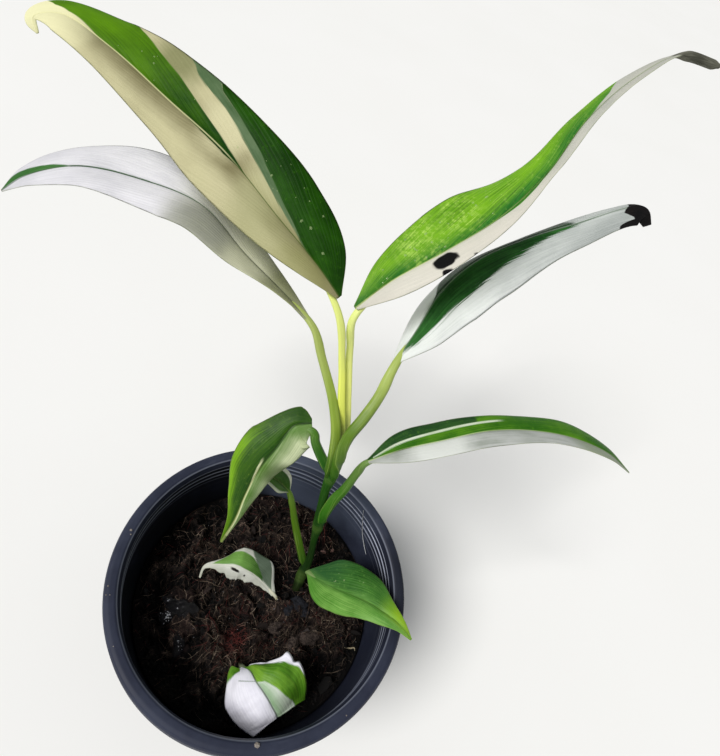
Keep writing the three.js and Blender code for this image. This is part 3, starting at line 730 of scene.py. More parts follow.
# %% Clods, husk and clay
def chunks(seed, rows):
    """Lumps from rows of x, y, turn in degrees and half sizes along, across and up: directions d on
    a ball, times 1 + 0.34 noise(2.4 d) + 0.2 noise(6 d), scaled, turned and set on the bed."""
    px, py, turn, along, across, high = np.moveaxis(np.array(rows, float)[:, None, None], -1, 0)
    b, a = np.meshgrid(np.linspace(0.03, 0.97, 26) * np.pi, circle(36), indexing="ij")
    x, y, z = (np.sin(b) * np.cos(a))[None], (np.sin(b) * np.sin(a))[None], np.cos(b)[None]
    own = 9.7 * np.arange(len(rows))[:, None, None]
    r = (1 + 0.34 * grain(seed, x + 0.6 * z + own, y - 0.5 * z, 0.42)
         + 0.2 * grain(seed + 1, x - 0.5 * z + own, y + 0.6 * z, 0.16))
    x, y, z = x * r * along, y * r * across, z * r * high
    cos, sin = np.cos(np.radians(turn)), np.sin(np.radians(turn))
    return stacked(px + x * cos - y * sin, py + x * sin + y * cos,
                   soil_height(px, py) + 0.35 * high + z)[:, ::-1]


def chunk_finish(name, dark, pale, rough, shine, size):
    """Two inks by noise that is stretched along x, and a coarse bump."""
    f = Finish(name, Specular_IOR_Level=shine, Roughness=rough)
    both = f.plus(f.noise(f.place(0.25, 1.1, 1.1), 4.0, 0.7), f.noise(f.place(1.5), 3.0, 0.7))
    return f.end(f.mix(f.step(both, -0.3, 0.4), dark, pale), None, both, size)


LUMPS = {
    "wet_clods": (51, [[-32, -21, 20, 7.5, 5, 4], [-37, -27, 40, 5, 3.4, 2.6],
                       [-26, -36, -60, 6, 2.6, 2.6], [-41, -21, 10, 3, 2, 1.8]],
                  "wet_peat", "030304", "2a282e", 0.2, 0.8, 2.4),
    "husk": (53, [[33.5, -8, 35, 7.5, 4.4, 2.2], [28, -14, 80, 4, 2.6, 1.6],
                  [17, -10, 20, 4.5, 3, 1.5]],
             "torn_husk", "181413", "62554e", 0.9, 0.15, 0.9),
    "grey_lumps": (55, [[23, 5.5, 10, 4.4, 3.2, 2.4], [19, 0, 60, 3, 2.2, 1.8],
                        [28, 3, 120, 2.6, 2, 1.6]],
                   "grey_clay", "08090c", "282a34", 0.6, 0.3, 0.9),
    "clay_bits": (57, [[25, 41, 10, 1.6, 1.1, 0.9], [30, 45, 60, 1.2, 0.9, 0.7],
                       [12, 37, 120, 1.0, 0.8, 0.7]],
                  "pink_clay", "5c423c", "a88880", 0.85, 0.2, 0.3)}
lumps = {name: chunks(seed, rows) for name, (seed, rows, *_) in LUMPS.items()}
for name, (_, _, *look) in LUMPS.items():
    make_piece(name, lumps[name], chunk_finish(*look), slot="soil")

# %% [markdown]
# Coir is a felt of fine fibres. Each is a thin three-sided tube along a bent arc: it starts on
# the bed, bows up a little and comes down again, and some stand out. Most are brown, some are
# reddish and some pale.

# %% Coir fibres
TUFTS = np.array([[-8, -26, 6], [-20, -6, 9], [12, -14, 10], [30, -18, 8], [-2, 24, 11],
                  [36, 22, 9], [-34, 14, 9], [44, 2, 8], [6, -32, 8], [8, 50, 9]], float)


def tufted(rng, count):
    """Places round the middles of the tufts, normal over their size, and a third strewn."""
    x, y = strewn(rng, count)
    tuft = TUFTS[rng.integers(0, len(TUFTS), count)]
    loose = rng.uniform(size=count) < 0.35
    x = np.where(loose, x, tuft[:, 0] + tuft[:, 2] * rng.normal(size=count))
    y = np.where(loose, y, tuft[:, 1] + tuft[:, 2] * rng.normal(size=count))
    keep = np.minimum(1, 0.95 * SOIL_EDGE / np.hypot(x, y))
    return x * keep, y * keep


def fibres(seed, count, lengths, thickness, bow):
    """Arc of each fibre: p(s) = start + s (cos a, sin a), with the heading a turning evenly along
    it, at the height of the bed plus bow * 4q(1-q), q = s / length; and their tones."""
    rng = np.random.default_rng(seed)
    start = tufted(rng, count)
    length = rng.uniform(*lengths, count)[:, None]
    q = np.linspace(0, 1, 8)[None]
    a = rng.uniform(0, 2 * np.pi, count)[:, None] + rng.normal(0, 1.1, count)[:, None] * q
    x, y = (p[:, None] + length * (np.cumsum(d, 1) - d[:, :1]) / 8
            for p, d in zip(start, (np.cos(a), np.sin(a))))
    keep = np.minimum(1, (SOIL_EDGE - 0.8) / np.hypot(x, y))
    lift = rng.uniform(0, 1, count)[:, None] ** 2 * bow
    centre = on_bed(x * keep, y * keep, 0.2 + lift * 4 * q * (1 - q) + 0.25 * lift * q)
    along = heading(centre)
    across = unit(np.cross(along, [0.0, 0.0, 1.0]))
    r = rng.uniform(*thickness, count)[:, None] * (1 - 0.75 * np.abs(2 * q - 1) ** 3)
    rings = tube(centre, across, np.cross(along, across), r[..., None], circle(3))
    return rings, np.broadcast_to(rng.uniform(0, 1, (count, 3))[:, None, None], rings.shape)


def fibre_finish():
    """Brown to tan by tone, a few reddish by the second mark, and painted shade by the wall."""
    f = Finish("coir_fibre", Roughness=0.7, Specular_IOR_Level=0.25)
    tone, red, _ = f.mark("tone")
    colour = f.mix(f.step(tone, 0.1, 0.9), "100d0c", "524237")
    colour = f.mix(f.step(tone, 0.84, 1.0), colour, "b09e8a")
    rosy = f.math("MAXIMUM", f.times(f.step(red, 0.9, 0.96), 0.5),
                  f.times(f.near(-1, -23, 90, 3, 10, 6), f.step(tone, 0.3, 0.9)))
    colour = f.over(colour, "96282c", rosy, 0.7)
    colour = f.mix(f.step(f.noise(f.place(0.7)), 0.0, 0.3), colour, "1e1713")
    return f.end(painted_wall_shade(f, colour))


COIR = fibre_finish()
for name, *strew in (("coir_fibres", 31, 2600, (2.5, 10), (0.045, 0.11), 2.4),
                     ("coir_tufts", 33, 2600, (2.5, 10), (0.045, 0.11), 2.4),
                     ("long_fibres", 32, 320, (8, 20), (0.07, 0.14), 5.0)):
    rings, tone = fibres(*strew)
    make_piece(name, rings, COIR, slot="soil", tone=tone)

# %% [markdown]
# Small things make the difference between clean and real: pale grains on the clods that stand
# for painted glints of their wet surface, pale grit in the mix, a crumb and dust on the lip, a
# curled root, and a hair that clings to the wall.
# Every grain is put on a point of the surface that carries it, so none floats in another view.

# %% Grit
def specks(seed, places, sizes):
    """Tiny grains of 12 points, each at its place, which is a point of what carries it."""
    rng = np.random.default_rng(seed)
    body = dented(rng, len(places), 0.3) * rng.uniform(*sizes, len(places))[:, None, None]
    return grain_skin(turned(rng, body) + places[:, None])


def on_clods(seed, count, middle, spread):
    """Points of the wet clods over the bed, chosen with the odds exp(-(far / spread)^2 / 2)."""
    points = lumps["wet_clods"].reshape(-1, 3)
    points = points[points[:, 2] > soil_height(points[:, 0], points[:, 1]) + 0.4]
    odds = np.exp(-0.5 * ((points[:, :2] - middle) ** 2).sum(1) / spread**2)
    pick = np.random.default_rng(seed).choice(len(points), count, False, odds / odds.sum())
    return points[pick]


# One pale finish serves the real grit in the mix, and the pale grains on the clods that paint their
# glints.
grit_and_painted_glints = chunk_finish("grit_and_painted_glints", "787a80", "e4e6ec", 0.15, 0.6, 0.1)
x, y = np.random.default_rng(62).normal((6, 2), (26, 22), (90, 2)).T
loose = on_bed(x, y, 0.1)[np.hypot(x, y) < SOIL_EDGE - 2]
for name, *grit in (("clod_glints", 61, on_clods(61, 44, (-37.5, -27.5), 2.6), (0.14, 0.46)),
                    ("tail_glints", 64, on_clods(64, 18, (-25.5, -37), 3.2), (0.1, 0.3)),
                    ("pale_grit", 62, loose, (0.1, 0.26))):
    make_piece(name, specks(*grit), grit_and_painted_glints, slot="soil", smooth=False)

lip_spots = np.array([[27.2, -64.9, 1.3], [-62.9, -37.9, 0.34], [-64.4, -34.2, 0.42],
                      [-61.4, -37.2, 0.28], [-70.5, -7.3, 0.7], [-69.4, -9.2, 0.4],
                      [-47.5, -54.8, 0.25], [60.2, -40.4, 0.35]])
lip_grains = GRAIN_POINTS[None] * lip_spots[:, 2, None, None] * [1.1, 0.9, 0.6]
lip_grains += np.c_[lip_spots[:, :2], POT_HEIGHT - 0.1 + 0.35 * lip_spots[:, 2]][:, None]
make_piece("lip_crumbs", grain_skin(lip_grains),
           chunk_finish("dry_crumb", "60564e", "b0aaa4", 0.8, 0.2, 0.3),
           slot="pot", smooth=False)


# %% [markdown]
# The curled root and the hair are tubes along short curves. The root lies on the mix, and
# the hair follows the wall.

# %% Root and hair
def strand(rows, sides):
    """A tube of radius r along the smooth curve through rows of x, y, z, r."""
    route = through(rows, by_distance(rows), np.linspace(0, 1, 40))
    across = unit(np.cross(heading(route), [0.31, 0.2, 1.0]))
    return tube(route[:, :3], across, np.cross(heading(route), across), route[:, 3:],
                circle(sides))


ROOT_XY = np.array([[55.6, -4.4], [57.6, -2.8], [59.6, -2.0], [61.4, -1.2], [62.2, -2.4]])
root_rows = np.c_[on_bed(*ROOT_XY.T, 0.7), [0.2, 0.4, 0.45, 0.35, 0.12]]
hair_rows = [[34.5, 57.9, 124.2, 0.16], [38.1, 55.7, 112.9, 0.26], [41.3, 52.8, 106.1, 0.26],
             [45.7, 47.9, 101.8, 0.22], [48.2, 45.1, 100.4, 0.12]]
for name, rows, sides, *look in (
        ("curled_root", root_rows, 8, "pale_root", "786c54", "bab094",
         0.7, 0.25, 0.1),
        ("wall_hair", hair_rows, 5, "grey_hair", "96989c", "ced0d4",
         0.6, 0.3, 0.05)):
    make_piece(name, strand(rows, sides), chunk_finish(*look), slot="soil")

# %% [markdown]
# ## Leaves as surfaces
# Each leaf is a route for its petiole and a few stations along its blade: place along it, the
# midrib point, and the half width on the left and on the right. The blade is worked out at place
# t along and u across, from -1 at the right edge to 1 at the left. The two halves are lifted by a
# fold, drop again towards the edge, wave a little, and swell between rib and edge, which is what
# gives a leaf its soft light and dark bands.

# %% Routes and stations of the leaves
LEAVES = {
    "upper_left": dict(petiole=[[5.8, 37.8, 186, 1.9], [4.6, 38.4, 199, 2.0],
        [2.2, 41.4, 210.5, 1.9], [-2, 44.9, 221, 1.7], [-8.9, 50.6, 239, 1.5],
        [-18.5, 54.9, 261, 1.4]], blade=[[0, -20, 56, 267, 1.2, 1.2],
        [0.08, -32, 61, 272, 7.7, 12.9], [0.22, -53, 68, 279, 13.6, 19.1],
        [0.4, -81, 78, 288, 17.3, 18.3], [0.58, -110, 86, 293, 13, 17.9],
        [0.76, -140, 94, 298, 10.8, 14.2], [0.88, -162, 98, 299, 8.6, 8.2],
        [0.95, -172, 95, 295, 2, 5.3], [1, -169, 92, 291, 0.6, 0.6]], up=[0.25, -0.62, 0.74],
        twist=[9, -11, 33], fold=[12, 8, 4], cup=0.1, waves=3, swell=[0.15, 0.05], wrinkle=0.4),
    "lower_left": dict(petiole=[[5.4, 33, 184, 1.8], [3.7, 33.4, 201.8, 2.2], [0.2, 37.4, 214, 2.1],
        [-6, 44, 222.7, 2.0], [-17.8, 52.5, 235.4, 1.8], [-26, 57.6, 244.5, 1.5]],
        blade=[[0, -29, 59, 246, 1.2, 1.2], [0.1, -43, 64, 249, 4.7, 4.6],
        [0.25, -65, 72, 252, 10.9, 9], [0.42, -90, 81, 258, 15.6, 12.5],
        [0.6, -119, 82, 256, 14, 15], [0.78, -147, 78, 251, 12.3, 10.7],
        [0.92, -165, 68, 242, 5.9, 6], [1, -172, 61, 235, 0.6, 0.6]], up=[0.1, -0.2, 0.97],
        twist=[22, -9, 8], fold=[14, 8, 4], cup=0.05, waves=3, swell=[0.07, 0.06], wrinkle=0.25),
    "upper_right": dict(petiole=[[9.4, 37.6, 187, 1.6], [6.9, 41, 198.5, 1.8],
        [4.3, 44.7, 207.4, 1.8], [-2.1, 50.2, 225.4, 1.6], [-8.9, 55.7, 244.8, 1.5],
        [-12.2, 58, 259, 1.5]], blade=[[0, -13, 59, 263, 1.2, 1.2], [0.1, -5, 73, 271, 10, 8.3],
        [0.24, 10, 91, 283, 18.4, 10.2], [0.38, 24, 111, 295, 18.6, 7.4],
        [0.52, 34, 134, 309, 10.4, 4.6], [0.66, 40, 159, 324, 6.8, 5.3],
        [0.8, 52, 185, 338, 4.7, 5.4], [0.91, 67, 204, 348, 2, 3.4],
        [1, 86, 212, 349, 1.4, 1.4]], up=[-0.1, -0.2, 0.97], twist=[20, -25, -34],
        fold=[14, 12, 8], cup=0.05, waves=4, swell=[0.07, 0.05], wrinkle=0.3, roll=1.8),
    "middle_right": dict(petiole=[[8.8, 32.6, 184, 2.0], [6.6, 32.4, 203, 2.6],
        [6.2, 35.4, 216, 2.5], [8.7, 42.4, 224, 2.5], [10.6, 51, 231.4, 2.3],
        [10.8, 59.5, 239.6, 2.0]], blade=[[0, 10, 62, 242, 1.6, 1.6],
        [0.12, 13, 77, 250, 7.8, 11], [0.26, 16, 96, 260, 8.4, 18.6],
        [0.42, 26, 116, 270, 10.6, 19.2], [0.58, 43, 136, 278, 12.6, 15.4],
        [0.74, 63, 156, 285, 10.6, 10.8], [0.86, 79.5, 172.2, 291.3, 6.8, 8.6],
        [0.93, 88.5, 180, 293.2, 5, 8.8], [0.97, 94.2, 181.8, 291.4, 4, 7.2],
        [1, 98.4, 180.4, 286.9, 2.6, 3.6]], up=[0, 0, 1], twist=[-28, -15, 13],
        fold=[-20, -36, -36], cup=0.1, waves=3, swell=[0.04, 0.07], wrinkle=0.25),
    "right": dict(petiole=[[13.4, 30.2, 141, 2.2], [13, 31, 155, 2.6], [14, 33, 166.6, 2.5],
        [15.8, 34.4, 177, 2.3], [17.4, 36.4, 195, 1.8], [18.4, 37, 201.5, 1.5]],
        blade=[[0, 19, 37, 204, 1.2, 1.2], [0.12, 30, 47, 208, 7.8, 7.4],
        [0.28, 46, 59, 212, 9.6, 9.6], [0.45, 65, 73, 216, 8.4, 10],
        [0.62, 87, 85, 217, 8.8, 9.2], [0.78, 110, 94, 215, 8.7, 7.5],
        [0.9, 130, 98, 211, 5.1, 5.5], [1, 146, 99, 204, 0.6, 0.6]], up=[0, -0.05, 1],
        twist=[-1, -12, -19], fold=[14, 10, 6], cup=0.05, waves=3, swell=[0.06, 0.06],
        wrinkle=0.2),
    "left": dict(petiole=[[6.4, 36.6, 179, 2.0], [2.4, 38.8, 183.4, 2.4], [-1.5, 40.3, 187, 2.4],
        [-5.6, 41.8, 191.6, 2.2], [-8.8, 43.8, 196, 1.9]], blade=[[0, -11, 46, 199, 4.2, 2.2],
        [0.05, -13.9, 44.6, 198.4, 9.2, 7.2], [0.13, -18, 42, 197, 12.4, 8.0],
        [0.3, -21, 33, 189, 11.8, 14.2], [0.48, -24, 24, 179, 8.6, 13.8],
        [0.66, -25, 16, 167, 5.6, 8.9], [0.84, -25, 8, 154, 2, 4.1],
        [1, -27, 1, 140, 0.6, 0.6]], up=[-0.1, -0.45, 0.88], twist=[-9, -22, -14],
        fold=[-4, -10, -6], cup=0.1, waves=2, swell=[0.08, 0.08], wrinkle=0.3),
    "lower_right": dict(petiole=[[17.9, 21.2, 95.5, 1.7], [18.8, 21.4, 98.8, 1.6]],
        blade=[[0, 20, 21, 100.5, 1.2, 1.2], [0.15, 30, 16, 109, 13.6, 10.5],
        [0.32, 40, 13, 118, 16.6, 12.2], [0.5, 51, 11, 125, 14.8, 11.2],
        [0.68, 61, 8, 130, 8.5, 7.7], [0.85, 71, 5, 131, 3.9, 3.9], [1, 79, 1, 130, 0.6, 0.6]],
        up=[0, 0, 1], twist=[29, -1, -2], fold=[8, 4, 3], cup=0.08, waves=2, swell=[0.07, 0.07],
        wrinkle=0.3),
    "small": dict(petiole=[[17.6, 23.4, 99, 2.1], [14.6, 24.6, 104, 2.2], [10.5, 26.4, 112, 2.1],
        [1.7, 30.7, 129.6, 1.9], [-4.2, 33.9, 142.7, 1.6], [-7.6, 35.2, 149, 1.4]],
        blade=[[0, -8.4, 35.4, 150.6, 1.2, 1.2], [0.2, -13, 34, 157, 5.2, 6.4],
        [0.45, -19, 32, 163, 4.2, 7.5], [0.72, -25, 31, 166, 3, 5],
        [1, -31, 31, 165, 0.6, 0.6]], up=[0.2, -0.4, 0.89], twist=[0, 0, 0], fold=[22, 18, 10],
        cup=0.05, waves=1, swell=[0.06, 0.06], wrinkle=0.2),
    "old_small": dict(petiole=[[11, 3.2, 91.2, 1.7], [9, 3.8, 93, 1.3]],
        blade=[[0, 8, 4, 93.4, 1.2, 1.4], [0.08, 4.6, 5, 94.8, 1.8, 4.6],
        [0.2, -1, 6.2, 97.6, 3, 11.6], [0.32, -6.8, 6.8, 100.9, 5.6, 11.2],
        [0.42, -11.5, 6.5, 102.8, 6.9, 11.4], [0.52, -16.5, 5.6, 103.6, 8.4, 10.9],
        [0.58, -19.8, 5.1, 103.2, 7.6, 9.1], [0.64, -23, 4.5, 102.4, 5.3, 5.2],
        [0.84, -32.5, 0.8, 98, 1.4, 1], [1, -32.8, -4, 92, 0.6, 0.6]], up=[0, -0.2, 1],
        twist=[4, -17, 28], fold=[-10, -25, -20], cup=0.1, waves=1, swell=[0.05, 0.08],
        wrinkle=0.6, torn=0.14),
    "old_front": dict(petiole=[[7.2, -32.6, 83, 1.4], [7.6, -33.8, 91, 1.3], [8.6, -35.3, 97, 1.2]],
        blade=[[0, 8.8, -35.5, 99, 3, 3], [0.12, 12.4, -36.4, 104, 9, 9],
        [0.3, 17.4, -40.7, 109, 15, 17], [0.5, 22.6, -43.8, 110.2, 17, 20],
        [0.65, 26, -45.6, 109.4, 19, 19], [0.8, 29.4, -47.4, 107, 20, 19],
        [0.92, 32.2, -48.6, 104.6, 18, 17], [1, 33.2, -49.1, 103, 16, 16]],
        near=[[0, 7.5, -37.6, 98], [0.05, 3.5, -37, 98.5], [0.1, 3.2, -40.6, 98],
        [0.16, 4.9, -45.2, 98], [0.3, 8, -52.7, 97.5], [0.5, 12.9, -56.4, 96],
        [0.65, 17.6, -58.4, 95.6], [0.8, 22, -59.3, 97], [0.92, 24.8, -59.9, 98.6],
        [1, 26.6, -60, 100]], far=[[0, 10.6, -36, 100], [0.06, 11.3, -33.7, 102],
        [0.14, 14.2, -32.2, 104.7], [0.25, 18.5, -30.4, 107.8], [0.45, 23.8, -26.2, 112.2],
        [0.53, 25.3, -23.8, 113.4], [0.6, 28.5, -25.3, 113.9], [0.65, 30.4, -26.5, 113],
        [0.69, 32.4, -25.7, 113.6], [0.76, 35.2, -27.1, 112.5], [0.84, 38.4, -29.9, 110.3],
        [0.92, 41.2, -33.2, 107], [1, 43.2, -36.4, 101]], up=[0, 0, 1], twist=[8, 26, 26],
        fold=[0, 0, 0], cup=0, waves=2, swell=[2.6, 2.4], wrinkle=0.5, lip=1.06),
}
NODE_OF = {name: "leaf_" + name for name in LEAVES}
NODE_OF["old_small"], NODE_OF["old_front"] = "old_leaf_small", "old_leaf_front"


# %% [markdown]
# At each place along the midrib there are three directions: along the rib, to the left, and
# out of the blade's upper side. The surface is built on them, and the twist turns the last
# two about the rib.

# %% Midrib frame and blade surface
USUAL_LENGTH = 170


def station(leaf, t, key="blade", columns=slice(1, 4)):
    """The leaf's rows at places t: by default the points of its midrib."""
    rows = np.array(leaf[key], float)
    return through(rows[:, columns], rows[:, 0], t)


def turned_by(leaf, key, t):
    """The angle at t in radians, from the three in degrees at the base, the middle and the tip."""
    return np.radians(np.interp(t, [0, 0.5, 1], leaf[key]))


def rib_frame(leaf, t):
    """Point P, left L and upper side N = T x L at t, with T along the rib. L starts level, as
    up x T, and is turned about T by the twist."""
    ahead, behind = np.minimum(t + 1e-3, 1), np.maximum(t - 1e-3, 0)
    direction = unit(station(leaf, ahead) - station(leaf, behind))
    level = unit(np.cross(leaf["up"], direction))
    twist = turned_by(leaf, "twist", t)[..., None]
    left = level * np.cos(twist) + np.cross(direction, level) * np.sin(twist)
    return station(leaf, t), left, np.cross(direction, left)


def half_width(leaf, t, u):
    """Half width in mm on the side that u is on, at least 0.3. A torn left margin is w times
    (1 + torn noise(60 t))."""
    width = station(leaf, t, columns=slice(4, 6))
    ragged = grain(8, 60 * t, 0 * t, 2.6) + 0.5 * grain(9, 60 * t, 0 * t, 1.1)
    left = width[..., 0] * (1 + leaf.get("torn", 0) * ragged)
    return np.maximum(np.where(u > 0, left, width[..., 1]), 0.3)


def blade_surface(leaf, t, u):
    """P + L side cos(fold) + N (side (sin(fold) - cup |u|) + wave + swell + wrinkle - groove):
    side = |u| times the half width w, wave = 0.05 w u^2 sin(2 pi waves t), swell = share of
    w times 4|u|(1-|u|), and the groove along the rib is half a millimetre deep."""
    if "near" in leaf:
        return arched_surface(leaf, t, u)
    point, left, normal = rib_frame(leaf, t)
    w, a, fold = half_width(leaf, t, u), np.abs(u), turned_by(leaf, "fold", t)
    inner = np.sin(np.pi * np.clip(t, 0, 1))
    phase = 2 * np.pi * leaf["waves"] * t + np.where(u > 0, 0, 1.9)
    wave = 0.05 * w * u * u * np.sin(phase) * inner
    swell = np.where(u > 0, *leaf["swell"]) * w * 4 * a * (1 - a) * inner**0.5
    run = t * USUAL_LENGTH
    wrinkle = leaf["wrinkle"] * inner * (grain(3, run, u * w, 14) * a
                                         + 0.5 * grain(4, run, u * w * 1.6, 6) * a * (1.2 - a))
    groove = 0.5 * bell(a * w, 0.9) * ease(t, 0.0, 0.1) * ease(-t, -0.97, -0.7)
    rise = a * w * (np.sin(fold) - leaf["cup"] * a) + wave + swell + wrinkle - groove
    return point + left * (u * w * np.cos(fold))[..., None] + normal * rise[..., None]


# %% [markdown]
# The old leaf at the front is broad and bent: it arches over the mix, its far margin turns up
# again in two peaks, and its end is creased down. Half widths can't say that, so it has a curve
# for each margin. The peaks die out inwards: nearer to the rib, the margin's curve is averaged
# over a longer stretch. The end continues over the crease as a short lip on the far half.

# %% Arched blade between three curves
def arched_surface(leaf, t, u):
    """Rib M (1 - |u|) + margin |u|, the margin averaged over 0.11 (1 - |u|^4) to both sides, plus
    n (swell sin(pi |u|) - dip exp(-((|u| - 0.8)/0.13)^2)), both less at the end, and past t = 1
    on the far half a quarter round of 1 mm and then straight down."""
    s, a = np.minimum(t, 1), np.abs(u)[..., None]
    far_side = u[..., None] > 0
    spread = 0.11 * (1 - np.abs(u) ** 4)
    near, far = (sum(station(leaf, np.clip(s + k * spread, 0, 1), key)
                     for k in (-1, -0.5, 0, 0.5, 1)) / 5 for key in ("near", "far"))
    rib, step = station(leaf, s), np.minimum(s + 0.02, 1)
    ahead = unit(station(leaf, step) - station(leaf, np.clip(step - 0.04, 0, 1)))
    calm = 1 - 0.85 * ease(s, 0.72, 1)[..., None]
    swell = np.where(far_side, *leaf["swell"]) * np.sin(np.pi * a) * ease(s, 0, 0.3)[..., None]
    dip = np.where(far_side, 1.2, 0.3) * bell(a - 0.8, 0.13)
    crumple = leaf["wrinkle"] * (grain(5, 60 * t, 18 * u, 7) + 0.5 * grain(6, 60 * t, 22 * u, 3.5))
    rise = (swell - dip) * calm + crumple[..., None] * a - 0.6 * bell(a * 18, 0.9)
    past = np.maximum(t - 1, 0)[..., None] * 28 * (1 - 0.97 * ease(-u[..., None], -0.1, 0.2))
    bend = np.minimum(past, 1.7)
    drop = 1 - np.cos(bend) + np.maximum(past - 1.7, 0)
    return (rib * (1 - a) + np.where(far_side, far, near) * a
            + unit(np.cross(ahead, far - near)) * rise
            + ahead * [1, 1, 0.2] * np.sin(bend) - np.array([0.0, 0.0, 1.0]) * drop)


# %% [markdown]
# A real blade is half a millimetre thick, with a round midrib that stands out below. So every
# cross section is one flat closed ring: over the upper side from left to right, and back below,
# where the rib is added. Stacking these rings gives a closed leaf with a thin edge.

# %% Blade rings
BLADE_ALONG, BLADE_ACROSS, HALF_THICK, NUDGE = 200, 44, 0.24, 0.004
RIB_END, RIB_TIP = 0.84, 0.45


def blade_rings(leaf, along=BLADE_ALONG, across=BLADE_ACROSS):
    """Rings of a blade with t and u at each point and 1 on the upper side. Half thickness is
    0.24 sqrt(1 - u^8), more near a rolled tip, and the rib adds r exp(-(side / (1.1 r))^2)
    below, with r going down to 0.45 mm by the square root of the place."""
    top, even = leaf.get("lip", 1), np.linspace(0, 1, along)
    t = (0.35 * (0.5 - 0.5 * np.cos(np.pi * even)) + 0.65 * even) * top
    s = np.linspace(-1, 1, across)
    u = -np.sign(s) * np.abs(s) ** 1.15
    t, u = np.meshgrid(t, np.r_[u, u[-2:0:-1]], indexing="ij")
    upper = np.broadcast_to(np.r_[np.ones(across), np.zeros(across - 2)], t.shape)
    t0, t1 = np.clip(t - NUDGE, 0, top), np.clip(t + NUDGE, 0, top)
    u0, u1 = np.clip(u - 3 * NUDGE, -1, 1), np.clip(u + 3 * NUDGE, -1, 1)
    out = unit(np.cross(blade_surface(leaf, t1, u) - blade_surface(leaf, t0, u),
                        blade_surface(leaf, t, u1) - blade_surface(leaf, t, u0)))
    half = HALF_THICK * np.sqrt(np.clip(1 - np.abs(u) ** 8, 0, 1))
    half = half + (leaf.get("roll", 0) * np.sqrt(np.clip(1 - u * u, 0, 1))
                   * (ease(t, 0.89, 0.93) - 0.6 * ease(t, 0.985, 1)))
    base = leaf["petiole"][-1][3]
    r = 0.9 * (base + (RIB_TIP - base) * np.sqrt(np.clip(t / RIB_END, 0, 1)))
    r = r * ease(-t, -0.97, -0.6)
    rib = r * bell(np.abs(u) * half_width(leaf, t, u), np.maximum(1.1 * r, 0.05))
    shift = np.where(upper > 0.5, half, -half - rib * ease(1 - np.abs(u), 0.0, 0.3))
    return blade_surface(leaf, t, u) + out * shift[..., None], t, u, upper


# %% [markdown]
# ## Colour zones of a blade
# A variegated leaf is painted in zones that follow its veins: a border starts at the midrib and
# runs out to the edge at a small angle. Each border is given as a few pairs of t and u. What the
# mesh carries is not a colour but the distance to the border in millimetres, positive inside, so
# the finish can draw a sharp or a feathered edge there at any resolution. Three zones fit in one
# vector mark. A second holds the place across and along the veins and the distance from the rib,
# and a third the distance from the edge, the side of the blade, and t.

# %% Zone borders
def border(t, pairs):
    """u of a border at t, straight between its pairs."""
    pairs = np.array(pairs, float)
    return np.interp(t, pairs[:, 0], pairs[:, 1])


def inside(*limits):
    """The smallest of several distances: inside all of them at once."""
    return np.minimum.reduce(np.broadcast_arrays(*limits))


def spot(t, u, w, length, t0, u0, along_mm, across_mm, lean=0.0):
    """Distance in mm inside a blunt oval, 1 - (|x|^3 + |y|^3)^(1/3), with x along over its half
    length and y across over its half width, y sheared by lean x."""
    x = (t - t0) * length / along_mm
    y = (u - u0) * w / across_mm - lean * x
    return (1 - (np.abs(x) ** 3 + np.abs(y) ** 3) ** (1 / 3)) * min(along_mm, across_mm)


def zones_upper_left(t, u, w, length):
    """Green beyond the cream band, the dark strip along the rib, and the grey-green sliver."""
    strip = border(t, [(0.30, 0.04), (0.34, -0.02), (0.365, -0.05), (0.4, -0.1), (0.435, -0.18),
        (0.47, -0.25), (0.51, -0.34), (0.55, -0.43), (0.59, -0.52), (0.63, -0.58),
        (0.665, -0.65), (0.705, -0.78), (0.733, -0.89), (0.77, -1.1)])
    low = border(t, [(0.32, 0), (0.36, 0.02), (0.4, 0.07), (0.47, 0.06), (0.55, 0), (0.78, 0),
        (0.82, -0.09), (0.87, -0.24), (0.9, -0.5), (0.93, -1.2)])
    green = border(t, [(0.12, 0), (0.15, -0.05), (0.19, -0.15), (0.24, -0.24), (0.28, -0.33),
        (0.32, -0.42), (0.35, -0.51), (0.39, -0.6), (0.43, -0.71), (0.46, -0.78), (0.49, -0.85),
        (0.51, -1.0), (0.53, -1.1)])
    sliver = border(t, [(0.12, 0.02), (0.16, -0.07), (0.24, -0.16), (0.3, -0.25), (0.35, -0.34),
        (0.39, -0.43), (0.42, -0.52), (0.46, -0.63), (0.5, -0.69), (0.53, -0.72), (0.56, -0.79),
        (0.58, -0.91), (0.62, -1.05)])
    return ((green - u) * w, inside((u - strip) * w, (low - u) * w, (0.95 - t) * length),
        inside((sliver - u) * w, (u - green) * w + 0.2))


def zones_lower_left(t, u, w, length):
    """The olive base, partly painted shadow of the leaf above, the thin dark streak along the
    rib, and the green one at the tip.
    """
    rib = inside((u + 0.03) * w, (border(t, [(0.4, 0.0), (0.52, 0.02), (0.61, 0.05), (0.7, 0.1),
        (0.78, 0.1)]) - u) * w, (0.8 - t) * length * 0.3, (t - 0.36) * length)
    tip = inside((u - border(t, [(0.8, -0.02), (0.86, -0.24), (0.92, -0.5), (1, -1.1)])) * w,
        (border(t, [(0.8, 0.08), (0.86, 0.05), (0.96, -0.1), (1, -0.2)]) - u) * w,
        (t - 0.8) * length * 0.3)
    return (0.45 - t) * length, rib, tip


